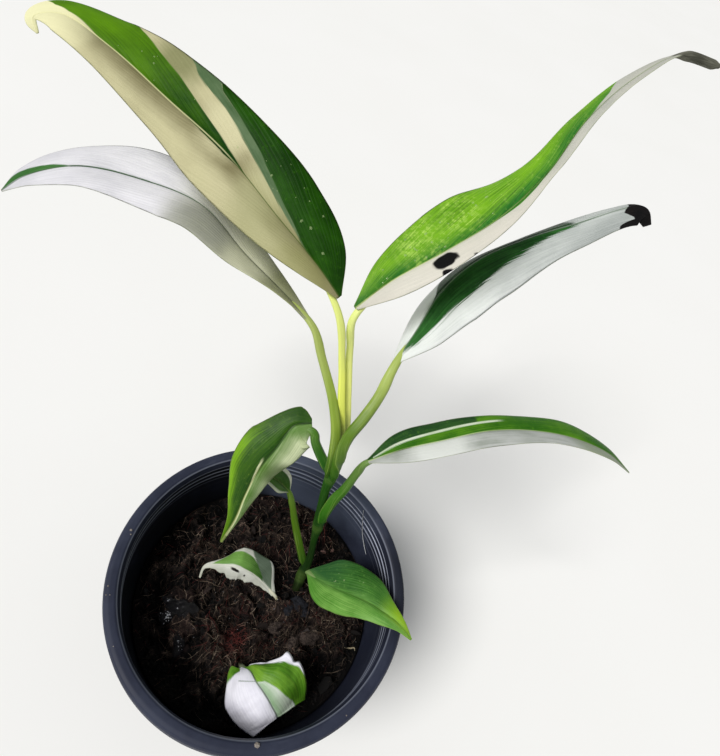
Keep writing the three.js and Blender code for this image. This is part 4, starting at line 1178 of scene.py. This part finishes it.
def zones_upper_right(t, u, w, length):
    """Green half, the dead spots on the white half, and the dried tip."""
    green = border(t, [(0, -0.1), (0.04, -0.02), (0.09, 0), (0.18, 0.01), (0.27, 0), (0.36, -0.09),
        (0.42, -0.34), (0.47, -0.36), (0.52, -0.2), (0.56, -0.06), (0.64, -0.06), (0.69, 0.09),
        (0.74, 0.3), (0.79, 1.1)])
    ragged = 0.5 * grain(10, t * length, u * w, 2.2)
    dead = np.maximum(spot(t, u, w, length, 0.214, -0.46, 5.7, 3.1),
        spot(t, u, w, length, 0.205, -1.0, 2.6, 1.8))
    dead = np.maximum(dead, spot(t, u, w, length, 0.272, -1.0, 1.0, 1.2)) + ragged
    return (u - green) * w, dead, (t - 0.895) * length


def zones_middle_right(t, u, w, length):
    """Green along the rib that feathers out to white, green on the far half, and the dead tip."""
    green = border(t, [(0.02, -0.1), (0.08, -0.4), (0.14, -0.44), (0.2, -0.51), (0.3, -0.55),
        (0.4, -0.52), (0.5, -0.44), (0.6, -0.31), (0.7, -0.14), (0.8, 0.06)])
    far = inside(u * w, (t - border(u, [(0, 0.2), (0.15, 0.24), (1, 0.3)])) * length,
        (0.72 - t) * length * 0.3)
    tip = t - border(u, [(-1, 0.845), (-0.82, 0.845), (-0.74, 0.868), (-0.68, 0.9), (-0.58, 0.895),
        (-0.45, 0.88), (-0.25, 0.863), (-0.1, 0.868), (0.1, 0.885), (1, 0.91)])
    return inside((u - green) * w, (0.03 - u) * w), far, tip * length


def zones_right(t, u, w, length):
    """Green upper half, its darker margin at the base, and the white streak between them."""
    low, high = 0.25 + 0.5 * t, 0.38 + 0.45 * t
    dark = inside((u - high) * w, (0.42 - t) * length * 0.4)
    streak = inside((u - low) * w, (high - u) * w, (t - 0.02) * length, (0.5 - t) * length * 0.1)
    return (u + border(t, [(0, 0.0), (0.85, 0.0), (1, 0.7)])) * w, dark, streak


def zones_left(t, u, w, length):
    """Green half, its yellow-green edge, and the white streak along the lower rib."""
    line = border(t, [(0.4, -0.1), (0.5, -0.05), (0.6, 0.02), (0.72, 0.04), (0.85, 0.15)])
    return ((0.08 - u) * w, inside((-u - 0.74) * w, (t - 0.2) * length * 0.1),
        inside(0.5 - np.abs(u - line) * w, (t - 0.42) * length * 0.1, (0.95 - t) * length))


def zones_lower_right(t, u, w, length):
    """Grey-green base, yellow-green tip, and the paler lower half."""
    return (0.26 - t) * length * 0.5, (t - 0.72) * length * 0.5, -u * w


def zones_small(t, u, w, length):
    """Dark green middle inside a white rim, paler along the rib."""
    return (0.72 - np.abs(u)) * w, (0.12 - np.abs(u)) * w, (t - 0.8) * length


def zones_old_small(t, u, w, length):
    """Grey-green base of the far half inside a white rim, its green band, and the slit on the
    near half."""
    top = border(t, [(0.19, 0), (0.225, -0.16), (0.253, -0.23), (0.297, -0.36), (0.335, -0.51),
        (0.38, -0.65), (0.438, -0.74), (0.495, -0.79), (0.562, -0.85), (0.61, -0.95),
        (0.665, -0.9), (0.725, -0.6), (0.77, 0)])
    low = border(t, [(0.15, 0), (0.238, -0.08), (0.328, 0.04), (0.413, 0), (0.492, -0.09),
        (0.565, -0.11), (0.66, -0.05), (0.735, -0.05), (0.78, -0.2)])
    grey = border(u, [(-1, 0.425), (-0.84, 0.395), (-0.68, 0.362), (-0.5, 0.34), (0, 0.3)])
    rim = border(u, [(-1, 0.255), (-0.87, 0.212), (-0.67, 0.158), (-0.46, 0.105), (0, 0.0)])
    tears = 0.8 * grain(7, t * 60, u * 20, 3.0)
    return (inside((grey - t) * length + tears, (t - rim) * length, -u * w - 0.6),
        inside((u - top) * w, (low - u) * w),
        np.maximum(spot(t, u, w, length, 0.527, 0.225, 2.5, 0.8, -0.72),
        spot(t, u, w, length, 0.4, 0.5, 0.6, 0.6)))


def zones_old_front(t, u, w, length):
    """The pale feather beside the rib, the green of the far half with the green lobe of the near
    one, and the dark crease across the near half."""
    low = border(t, [(0.28, -0.05), (0.297, 0), (0.417, 0.23), (0.628, 0.32), (0.802, 0.4),
        (0.99, 0.57)])
    high = border(t, [(0, 0.72), (0.1, 0.78), (0.223, 0.78), (0.36, 0.8), (0.492, 0.77),
        (0.645, 0.88), (0.78, 0.95), (0.858, 1.02), (0.9, 1.1)])
    lobe = border(u, [(-1, 0.158), (-0.77, 0.152), (-0.62, 0.125), (-0.42, 0.1), (-0.36, 0)])
    crease = border(u, [(-0.5, 0.21), (-0.43, 0.22), (-0.21, 0.255), (-0.02, 0.288)])
    green = inside((u - np.maximum(low, 0)) * w, (high - u) * w)
    return (inside(u * w, (low - u) * w), np.maximum(green, inside((-u - 0.4) * w,
        (lobe - t) * 28)), inside(0.2 - np.abs(t - crease) * length, (u + 0.45) * w,
        0.4 - u * w))


ZONES = dict(upper_left=zones_upper_left, lower_left=zones_lower_left,
    upper_right=zones_upper_right, middle_right=zones_middle_right, right=zones_right,
    left=zones_left, lower_right=zones_lower_right, small=zones_small, old_small=zones_old_small,
    old_front=zones_old_front)

# %% [markdown]
# ## Blade finish
# One function makes the finish of every blade, because they differ only in their inks and zones.
# Fine streaks run with the veins, which leave the rib at a small angle, the lean of the leaf. The
# same streaks feather the borders, tint the greens and raise the fine ridges. The underside is
# paler and more matt, and the edge is a thin paler line. An ink is a pair of colours, which change
# into each other in clouds, or with the distance from the rib, or along the blade. Dead tissue
# is painted last, over rib and edge.

# %% Inks of the leaves
DEAD = "030304"
INKS = {
    # Upper left: the ground's second colour, darker by the rib, is painted shade beside the rib;
    # the tints lighten the tip and parts of the band and darken others.
    "upper_left": dict(ground=("beb992", "807a58"), by=("rib", 10, 2),
        rib=("3c5410", "e2e0ac", 0.34, 0.42), lean=0.2, glow="407a0e", greens=(0, 1),
        gloss=0.05, stripe=0.5, zones=[("103402", "245208", 0.5, 0.25), ("08320e", "58880c",
        0.4, 0.25, ("along", 0.4, 0.85)), ("607654", "3c5834", 0.9, 0.3)],
        tints=[(-168, 95, 297, 8, 26, "eeecbe", 0.9), (-157, 90, 297, 4, 16, "d6d2a8", 0.6),
        (-112, 97, 303, 4, 17, "70744a", 0.75), (-84, 82.5, 294, 5, 15, "ccc7a0", 0.85),
        (-62, 72, 284, 4, 15, "b8b68c", 0.8), (-56, 60, 277, 5, 22, "9e9e72", 0.6),
        (-36, 57, 268, 6, 18, "8e8e5c", 0.7)]),
    # Lower left: the base zone and the first two late tints are partly painted shadow of the upper
    # left leaf over this one.
    "lower_left": dict(ground=("dcdbe1", "c4c4ca"), rib=("3c4632", "466042", 0.3, 0.5), lean=0.1,
        glow="60a050", greens=(1, 2), stripe=0.9, zones=[("b6b7a0", "94967c", 7.0, 16.0),
        ("163424", "2c5432", 0.5, 0.2), ("326c22", "245822", 0.6, 0.3)],
        late=[(-85, 70, 257, 6, 22, "868880", 0.75), (-42, 67, 249, 4, 22, "747850", 0.75),
        (-62, 68, 252, 4, 14, "c0c1a6", 0.6)]),
    # Upper right: the ground darkens along the blade as painted shade of the far part, which turns
    # edge-on.
    "upper_right": dict(ground=("d4d0c4", "b0b2a8"), by=("along", 0.3, 0.7),
        rib=("becc82", "788c54", 0.1, 0.5), lean=0.12, glow="c4e470", greens=(0,), over=(1, 2),
        streak=1.7, zones=[("267022", "74ac16", 0.5, 0.2, ("rib", 0, 7)),
        # The last list of the upper right leaf gives patches of painted sheen of a water film.
        (DEAD, DEAD, 0.0, 0.4), ("46463c", "808072", 1.0, 1.5)], painted_sheen=[(-2, 90, 282, 6, 16),
        (8, 105, 291, 4, 14)]),
    "middle_right": dict(ground=("e8ece9", "aeb4b1"), by=("along", 0.3, 0.8),
        rib=("5a7854", "788676", 0.2, 0.6), lean=0.035, glow="3c7436", greens=(0, 1), over=(2,),
        zones=[("0e420e", "2e6c28", 5.0, 0.35), ("082a0a", "1e461a", 2.0, 0.5),
        (DEAD, "16110f", 0.8, 0.3)]),
    "right": dict(ground=("babdba", "92988f"), rib=("becc96", "6e8646", 0.4, 0.9), lean=0.06,
        glow="68a028", greens=(0, 1), zones=[("225c08", "528614", 0.8, 0.25),
        ("103618", "2c5422", 0.8, 0.3), ("e2e8da", "bac8ac", 1.0, 0.2)],
        tints=[(45, 55, 213, 8, 20, "e2e5e1", 0.8), (124, 95, 213, 8, 24, "88947a", 0.85)]),
    "left": dict(ground=("d0dab0", "52762e"), by=("rib", 8.5, 1.5),
        rib=("223612", "96a05a", 0.4, 0.6), lean=0.14, glow="78963c", greens=(0, 1),
        zones=[("1c4408", "3c640e", 0.6, 0.3), ("34541c", "7aac0c", 3.0, 2.2,
        ("along", 0.18, 0.46)), ("dee2b8", "c4ce96", 0.3, 0.2)],
        tints=[(-16, 27, 176, 3, 10, "465e26", 0.8), (-15, 44, 196, 3, 9, "5c803a", 0.8)]),
    "lower_right": dict(ground=("225416", "44782a"), rib=("487432", "608c32", 0.2, 0.8), lean=0.14,
        glow="7eb054", greens=(0, 1, 2), streak=1.6, zones=[("325e34", "265426", 5.0, 6.0),
        ("acce18", "76aa16", 3.0, 4.5), ("548e32", "82b256", 3.0, 3.5)]),
    "small": dict(ground=("e2e4ce", "c4ccb0"), rib=("789050", "8ca05a", 0.1, 0.9), lean=0.14,
        glow="60823c", greens=(0,), zones=[("345c1a", "507a2c", 0.8, 0.3),
        ("5a7838", "4c6c2c", 0.4, 0.4), ("aab882", "96aa6e", 2.0, 2.0)]),
    "old_small": dict(ground=("dadbd3", "b6b9aa"), rib=("d6d6c8", "d6d6c8", 0.1, 0.9), lean=0.14,
        glow="8cb868", greens=(1,), over=(2,), stripe=0.8,
        zones=[("6a7a68", "404e3e", 1.6, 0.6), ("143e08", "74a24c", 0.6, 0.4,
        ("along", 0.22, 0.55)), (DEAD, "28221a", 0.2, 0.25)]),
    "old_front": dict(ground=("eeedf7", "d4d3e0"), rib=("101e12", "142416", 0.1, 0.9), lean=0.1,
        glow="78ac3c", greens=(1,), over=(2,), rib_width=0.8, stripe=0.7, zones=[("8cac84",
        "ced8ca", 2.0, 1.0, ("rib", 0, 7)), ("407614", "80ac36", 0.9, 0.5),
        ("7e8c80", "96a298", 0.0, 0.2)], late=[(36, -41, 109, 3, 10, "244a0a", 0.3)]),
}

# %% [markdown]
# The inks are laid in the order in which they are seen: ground, zones, streaks, glow, rib, edge
# and underside, and at last what has died.

# %% Blade finish
def blade_finish(name, inks):
    """Ground with its tints, then each zone over it where its distance plus feather times the
    streaks is above zero; then threads, glow with the painted sheen of wet patches, rib line,
    edge line and underside; then the dead zones."""
    f = Finish("blade_" + name, Specular_IOR_Level=inks.get("gloss", 0.2))
    vein, run, y = f.mark("veins")
    edge, upper, along = f.mark("sides")
    zone = f.mark("zones")
    lines = f.lines(vein, 1.7, run, 0.025, 2.0)
    threads = f.lines(vein, 5.5, run, 0.04, 2.0, 4.0)
    cloud = f.lines(y, 0.11, run, 0.05, 4.0, 9.0)
    mottle, speck = f.noise(f.place(0.45), 3.0, 0.65), f.noise(f.place(1.7), 2.0, 0.6)
    aside, streak = f.math("ABSOLUTE", y), inks.get("streak", 1.0)
    tone = f.step(f.plus(f.times(lines, inks.get("stripe", 1.5)), f.times(cloud, 1.9)), -0.45, 0.6)

    def share(by=None):
        """How much of the second colour: by the tone, or by the rib or the place along it."""
        if by is None:
            return tone
        ramp = f.times(f.step(aside if by[0] == "rib" else along, by[1], by[2]), 0.8)
        return f.plus(ramp, f.math("SUBTRACT", f.times(tone, 0.4), 0.1), clamp=True)

    def mask_of(k, feather, soft):
        """1 inside zone k, its border feathered by the streaks and softened."""
        value = f.plus(zone[k], f.times(lines, feather * 0.7),
                       f.times(threads, min(1.3 * feather, 5.0)))
        return f.step(value, -soft, soft)

    def tinted(colour, tints):
        """The colour with each tint over it, near its point."""
        for *where, ink, amount in tints:
            colour = f.over(colour, ink, f.near(*where, 4.0), amount)
        return colour

    colour = f.mix(share(inks.get("by")), *inks["ground"])
    colour = tinted(colour, inks.get("tints", ()))
    leafy, over = float(name == "lower_right"), inks.get("over", ())
    for k, (ink, other, feather, soft, *by) in enumerate(inks["zones"]):
        if k not in over:
            mask = mask_of(k, feather, soft)
            colour = f.mix(mask, colour, f.mix(share(*by), ink, other))
            leafy = f.math("MAXIMUM", leafy, mask) if k in inks["greens"] else leafy
    colour = tinted(colour, inks.get("late", ()))
    wave = f.math("SINE", f.plus(f.times(vein, 5.2), f.times(lines, 9.0)))
    dark = f.plus(f.times(f.step(wave, 0.3, 1.0), f.times(f.step(cloud, 0.15, -0.1), 0.2)),
                  f.times(f.step(threads, 0.04, 0.3), 0.3))
    dark = f.times(dark, f.plus(0.24, f.times(leafy, streak)), clamp=True)
    colour = f.mix(dark, colour, "788c64", "MULTIPLY")
    patch = f.times(f.step(mottle, 0.03, 0.3), f.step(speck, -0.2, 0.25), 0.5)
    # Painted sheen: near the listed points, lighter mottles in the glow colour stand for a water
    # film's shine.
    for where in inks.get("painted_sheen", ()):
        sheen_mottle = f.times(f.step(mottle, -0.06, 0.1), f.step(threads, 0.2, -0.2))
        patch = f.math("MAXIMUM", patch, f.times(f.times(f.near(*where, 8.0), sheen_mottle), 0.5))
    bright = f.times(f.step(threads, -0.04, -0.3), 0.3 * streak)
    colour = f.mix(f.times(f.plus(bright, patch, clamp=True), leafy), colour, inks["glow"])
    colour = f.over(colour, "465424", f.step(speck, 0.1, 0.3), 0.1)
    base, tip, first, last = inks["rib"]
    rib = f.step(aside, inks.get("rib_width", 0.55), 0.2)
    colour = f.over(colour, f.mix(f.step(along, first, last), base, tip), rib, 0.7)
    colour = f.over(colour, "a4b06e", f.step(edge, 0.45, 0.1), 0.35)
    below = f.math("SUBTRACT", 1.0, upper)
    colour = f.over(colour, "96a66e", below, 0.25)
    dead = 0.0
    for k in over:
        ink, other, feather, soft = inks["zones"][k]
        mask = mask_of(k, feather, soft)
        colour = f.mix(mask, colour, f.mix(tone, ink, other))
        dead = f.math("MAXIMUM", dead, mask)
    rough = f.plus(0.42, f.times(f.math("ABSOLUTE", mottle), 0.4))
    rough = f.plus(rough, f.times(dead, 0.4), clamp=True)
    rough = f.plus(rough, f.times(below, 0.16), clamp=True)
    height = f.plus(f.times(wave, -0.25), f.times(lines, 0.9), f.times(mottle, 0.8))
    return f.end(colour, rough, height, 0.2, 0.6)


# %% [markdown]
# ## Petioles
# A petiole is round below, flattened with a shallow channel on the side that faces the stem tip,
# and its lower part carries two thin papery wings, the sheath that once held the next leaf. The
# ring is a circle with these changes at their angles from the channel. Where it meets the blade
# it sinks under it and passes into the midrib.

# %% Petiole rings
def petiole_rings(leaf, steps=90, sides=30):
    """Rings of radius r (1 - 0.16 exp(-(a/0.55)^2) + wing exp(-((|a|-0.8)/0.15)^2)), a the angle
    from the channel, on a route through the petiole's rows and six points under the midrib."""
    stalk, sixths = leaf["petiole"], np.arange(1, 7) / 6
    point, _, normal = rib_frame(leaf, RIB_END * sixths)
    r = stalk[-1][3] + (RIB_TIP - stalk[-1][3]) * np.sqrt(sixths)
    rows = np.r_[stalk, np.c_[point - 0.5 * r[:, None] * normal, r]]
    place = by_distance(rows)
    meet, stop = place[len(stalk) - 1], place[len(stalk)]
    q = np.linspace(0, stop, steps)
    route = through(rows, place, q)
    direction, face = heading(route), np.array(leaf["up"], float)
    face = unit(face - (direction @ face)[:, None] * direction)
    run = distances(route)
    grow = ease(run, 0, 7)
    radius = route[:, 3] * (1 - 0.45 * ease(q, meet, stop)) * (0.5 + 0.5 * grow)
    radius = radius * (1 + 0.10 * bell(q - 0.9 * meet, 0.06 * meet + 1e-6))
    centre = route[:, :3] - face * (0.85 * route[:, 3] * ease(q, 0.97 * meet, stop))[:, None]
    angle = circle(sides)
    off = np.abs(np.angle(np.exp(1j * angle)))
    wing = 0.16 * grow * (1 - ease(q, 0.35 * meet, 0.8 * meet))
    ring = 1 - 0.16 * bell(off, 0.55)[None] + wing[:, None] * bell(off - 0.8, 0.15)[None]
    rings = tube(centre, face, np.cross(direction, face), radius[:, None] * ring, angle)
    marks = stacked(run[:, None], (angle - np.pi) * radius[:, None], (q / meet)[:, None])
    return rings, marks, stacked((ring - 1).clip(0) / 0.16, off / np.pi, 0.0)


# %% [markdown]
# Petioles and stem share one kind of finish: greens that follow each other along the piece, in
# borders moved by clouds, with fine pale and dark threads, and a paler wing or node.

# %% Petiole and stem finish
STALKS = {
    "upper_left": ("2c6208", "e8f06a", "dce682"),
    "lower_left": ("3c6810", "849c36", "a0ae60"),
    "upper_right": ("2c6208", "f8fc8e", "dce68a"),
    "middle_right": ("2e600c", "547416", "a0b25a"),
    "right": ("225e0a", "3a6e14", "60803a"),
    "left": ("1c5206", "285c0e", "467220"),
    "lower_right": ("32581e", "466c2e", "6e8850"),
    "small": ("325c0c", "507614", "5c7e1e"),
    "old_small": ("968e6a", "c4be9c", "c8c6b0"),
    "old_front": ("383228", "545442", "6c745c")}


def cane_finish(f, along, inks, cloud, threads, ink_pale, ink_dark, dark, raised, rough):
    """The first ink, and each next one between its two places along the piece; then threads, the
    raised mark, and roughness plus 0.3 |cloud|."""
    colour, *rest = inks
    for ink, low, high in rest:
        colour = f.mix(f.step(along, low, high), colour, ink)
    colour = f.over(colour, ink_pale, f.step(threads, 0.0, 0.35), 0.22)
    colour = f.over(colour, ink_dark, f.step(threads, 0.0, -0.35), dark)
    mask, amount, ink = raised
    colour = f.over(colour, ink, mask, amount)
    rough = f.plus(rough, f.times(f.math("ABSOLUTE", cloud), 0.3), clamp=True)
    return f.end(colour, rough, threads, 0.12, 0.5)


def stalk_finish(name, low, middle, high):
    """Three greens from the base to the blade, and pale wings."""
    f = Finish("stalk_" + name, Specular_IOR_Level=0.3)
    run, round_mm, place = f.mark("stalk")
    cloud = f.noise(f.place(0.12))
    return cane_finish(
        f, f.plus(place, f.times(cloud, 0.25)), (low, (middle, 0.05, 0.5), (high, 0.5, 1.0)), cloud,
        f.lines(round_mm, 2.2, run, 0.06), "d8e0a0", "305414", 0.25,
        (f.step(f.mark("sheath")[0], 0.25, 0.9), 0.35, "a8c060"), 0.42)


# %% [markdown]
# Now each leaf is put together from its blade and its petiole. Both stand for the leaf's solid
# in the frame, and both ride with the plant. The mark across the veins is VEIN_FAN |u| less the
# lean times the way along, so its level lines fan out from the rib to the tip, and the right
# half is moved on by OTHER_HALF, so that the two halves don't mirror each other.

# %% Grow the leaves
VEIN_FAN, OTHER_HALF = 15.0, 40.0
for name, leaf in LEAVES.items():
    rings, t, u, upper = blade_rings(leaf, 120 if name in ("small", "old_small") else BLADE_ALONG)
    w, length = half_width(leaf, t, u), distances(np.array(leaf["blade"])[:, 1:])[-1]
    run, side = t * length, np.abs(u)
    make_piece(
        "blade_" + name, rings, blade_finish(name, INKS[name]), NODE_OF[name],
        veins=stacked(side * VEIN_FAN - INKS[name]["lean"] * run
                      + np.where(u > 0, 0.0, OTHER_HALF), run, u * w),
        sides=stacked((1 - side) * w, upper, t), zones=stacked(*ZONES[name](t, u, w, length)))
    rings, stalk, sheath = petiole_rings(leaf, 30 if len(leaf["petiole"]) < 4 else 90)
    make_piece("petiole_" + name, rings, stalk_finish(name, *STALKS[name]), NODE_OF[name],
               stalk=stalk, sheath=sheath)

# %% [markdown]
# ## Stem
# The stem is a green cane with a swollen node where each leaf is set. A node has a thin scar
# ring, and the part between two nodes is smooth with faint lengthwise lines. It is darker and
# browner at the foot, where the mix stains it.

# %% Stem
STEM = np.array([
    [19.5, 11, 60, 2.4], [18.8, 14.5, 86, 2.5], [17.9, 20.5, 95, 3.1], [17.8, 25.2, 106, 2.2],
    [14.2, 29, 130, 2.0], [13.2, 30.3, 139, 2.9], [10.2, 33, 155, 2.3], [8, 35, 170, 2.3],
    [7.6, 35.4, 181, 2.9], [7.6, 35, 190, 2.4], [7.4, 35.6, 197, 1.2]])
SCARS = np.array([93.0, 97.5, 137.0, 141.0, 179.5, 183.0])


def stem_rings(steps=220, sides=32):
    """Rings on the stem's route; each scar is a groove and a lip: r (1 - 0.07 g(z) + 0.06
    g(z - 0.9)), with g(z) = exp(-(z/0.45)^2), and low waves round the ring."""
    route = through(STEM, by_distance(STEM), np.linspace(0, 1, steps))
    across = unit(np.cross(heading(route), [1.0, 0.0, 0.0]))
    gap, angle = route[:, 2:3] - SCARS, circle(sides)
    scar = (0.06 * bell(gap - 0.9, 0.45) - 0.07 * bell(gap, 0.45)).sum(1, keepdims=True)
    ripple = 0.02 * np.cos(3 * angle) + 0.012 * np.cos(7 * angle + 1)
    rings = tube(route[:, :3], across, np.cross(heading(route), across),
                 route[:, 3:] * (1 + scar + ripple), angle)
    return rings, stacked(route[:, 2:3], angle * 2.4, bell(gap, 3.0).sum(1, keepdims=True))


def stem_finish():
    """Dark olive at the foot, then deep green; paler nodes."""
    f = Finish("stem_green", Specular_IOR_Level=0.3)
    z, round_mm, node = f.mark("stalk")
    cloud = f.noise(f.place(0.2))
    return cane_finish(
        f, f.plus(z, f.times(cloud, 8.0)), (
            "142008", ("122c08", 88.0, 98.0), ("184008", 112.0, 136.0),
            ("1e5008", 150.0, 182.0)), cloud,
        f.lines(round_mm, 2.0, z, 0.08), "8cac60", "2c5416", 0.3,
        (f.step(node, 0.5, 1.3), 0.16, "789646"), 0.44)


rings, stalk = stem_rings()
make_piece("stem_cane", rings, stem_finish(), "stem", stalk=stalk)

# %% [markdown]
# ## Water drops
# The plant has just been watered. A drop on a waxy leaf is a flat dome. Each dome is a small
# closed skin, placed at t and u on a blade and turned to the blade's own upper side. At a
# millimetre across, a drop shows as a pale gloss with a bright point, so its shader is a thin
# see-through film with the gloss of water, which also lets the light through to the leaf.

# %% Water drops
def drops(seed, name, count, t_range, u_range, sizes):
    """Domes r (cos a, sin a) sin(b), 0.4 r cos(b), closed below at the blade's face."""
    rng, leaf = np.random.default_rng(seed), LEAVES[name]
    t, u = rng.uniform(*t_range, count), rng.uniform(*u_range, count)
    p = blade_surface(leaf, t, u)
    along = unit(blade_surface(leaf, np.minimum(t + NUDGE, 1), u) - p)
    out = unit(np.cross(along, blade_surface(leaf, t, np.minimum(u + 3 * NUDGE, 1)) - p))
    r = (sizes[0] + (sizes[1] - sizes[0]) * rng.power(0.5, count))[:, None, None]
    b, a = (np.linspace(0.06, 1, 7)[::-1] * np.pi / 2)[:, None], circle(14)
    stretch = rng.uniform(0.8, 1.25, count)[:, None, None]
    flat = r * np.sin(b)
    x, y, z = np.broadcast_arrays(flat * np.cos(a) * stretch, flat * np.sin(a) / stretch,
                                  0.4 * r * np.cos(b))
    axes = zip((x, y, z), (along, np.cross(out, along), out))
    return (p + 0.2 * out)[:, None, None] + sum(
        part[..., None] * axis[:, None, None] for part, axis in axes)


water = Finish("clear_water", Roughness=0.08, IOR=1.33, Alpha=0.28,
               Base_Color=(0.5, 0.66, 0.3, 1.0))
make_piece("water_drops", np.concatenate([
    drops(41, "upper_left", 14, (0.06, 0.34), (-0.85, -0.25), (0.2, 0.65)),
    drops(42, "upper_left", 8, (0.35, 0.75), (-0.6, -0.05), (0.2, 0.5)),
    drops(43, "upper_right", 34, (0.08, 0.4), (0.08, 0.9), (0.2, 0.65)),
    drops(44, "lower_right", 7, (0.2, 0.45), (0.0, 0.5), (0.25, 0.6))]), water.material)

# %% [markdown]
# ## Size
# The box of the dressed plant is compared with the box of the frame, and the change at each
# side is printed in millimetres.

# %% Sizes and finish
low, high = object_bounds()
for end, new, old in (("low", low, frame_low), ("high", high, frame_high)):
    print(f"change at the {end} side in mm:", [round(1000 * (a - b), 2) for a, b in zip(new, old)])
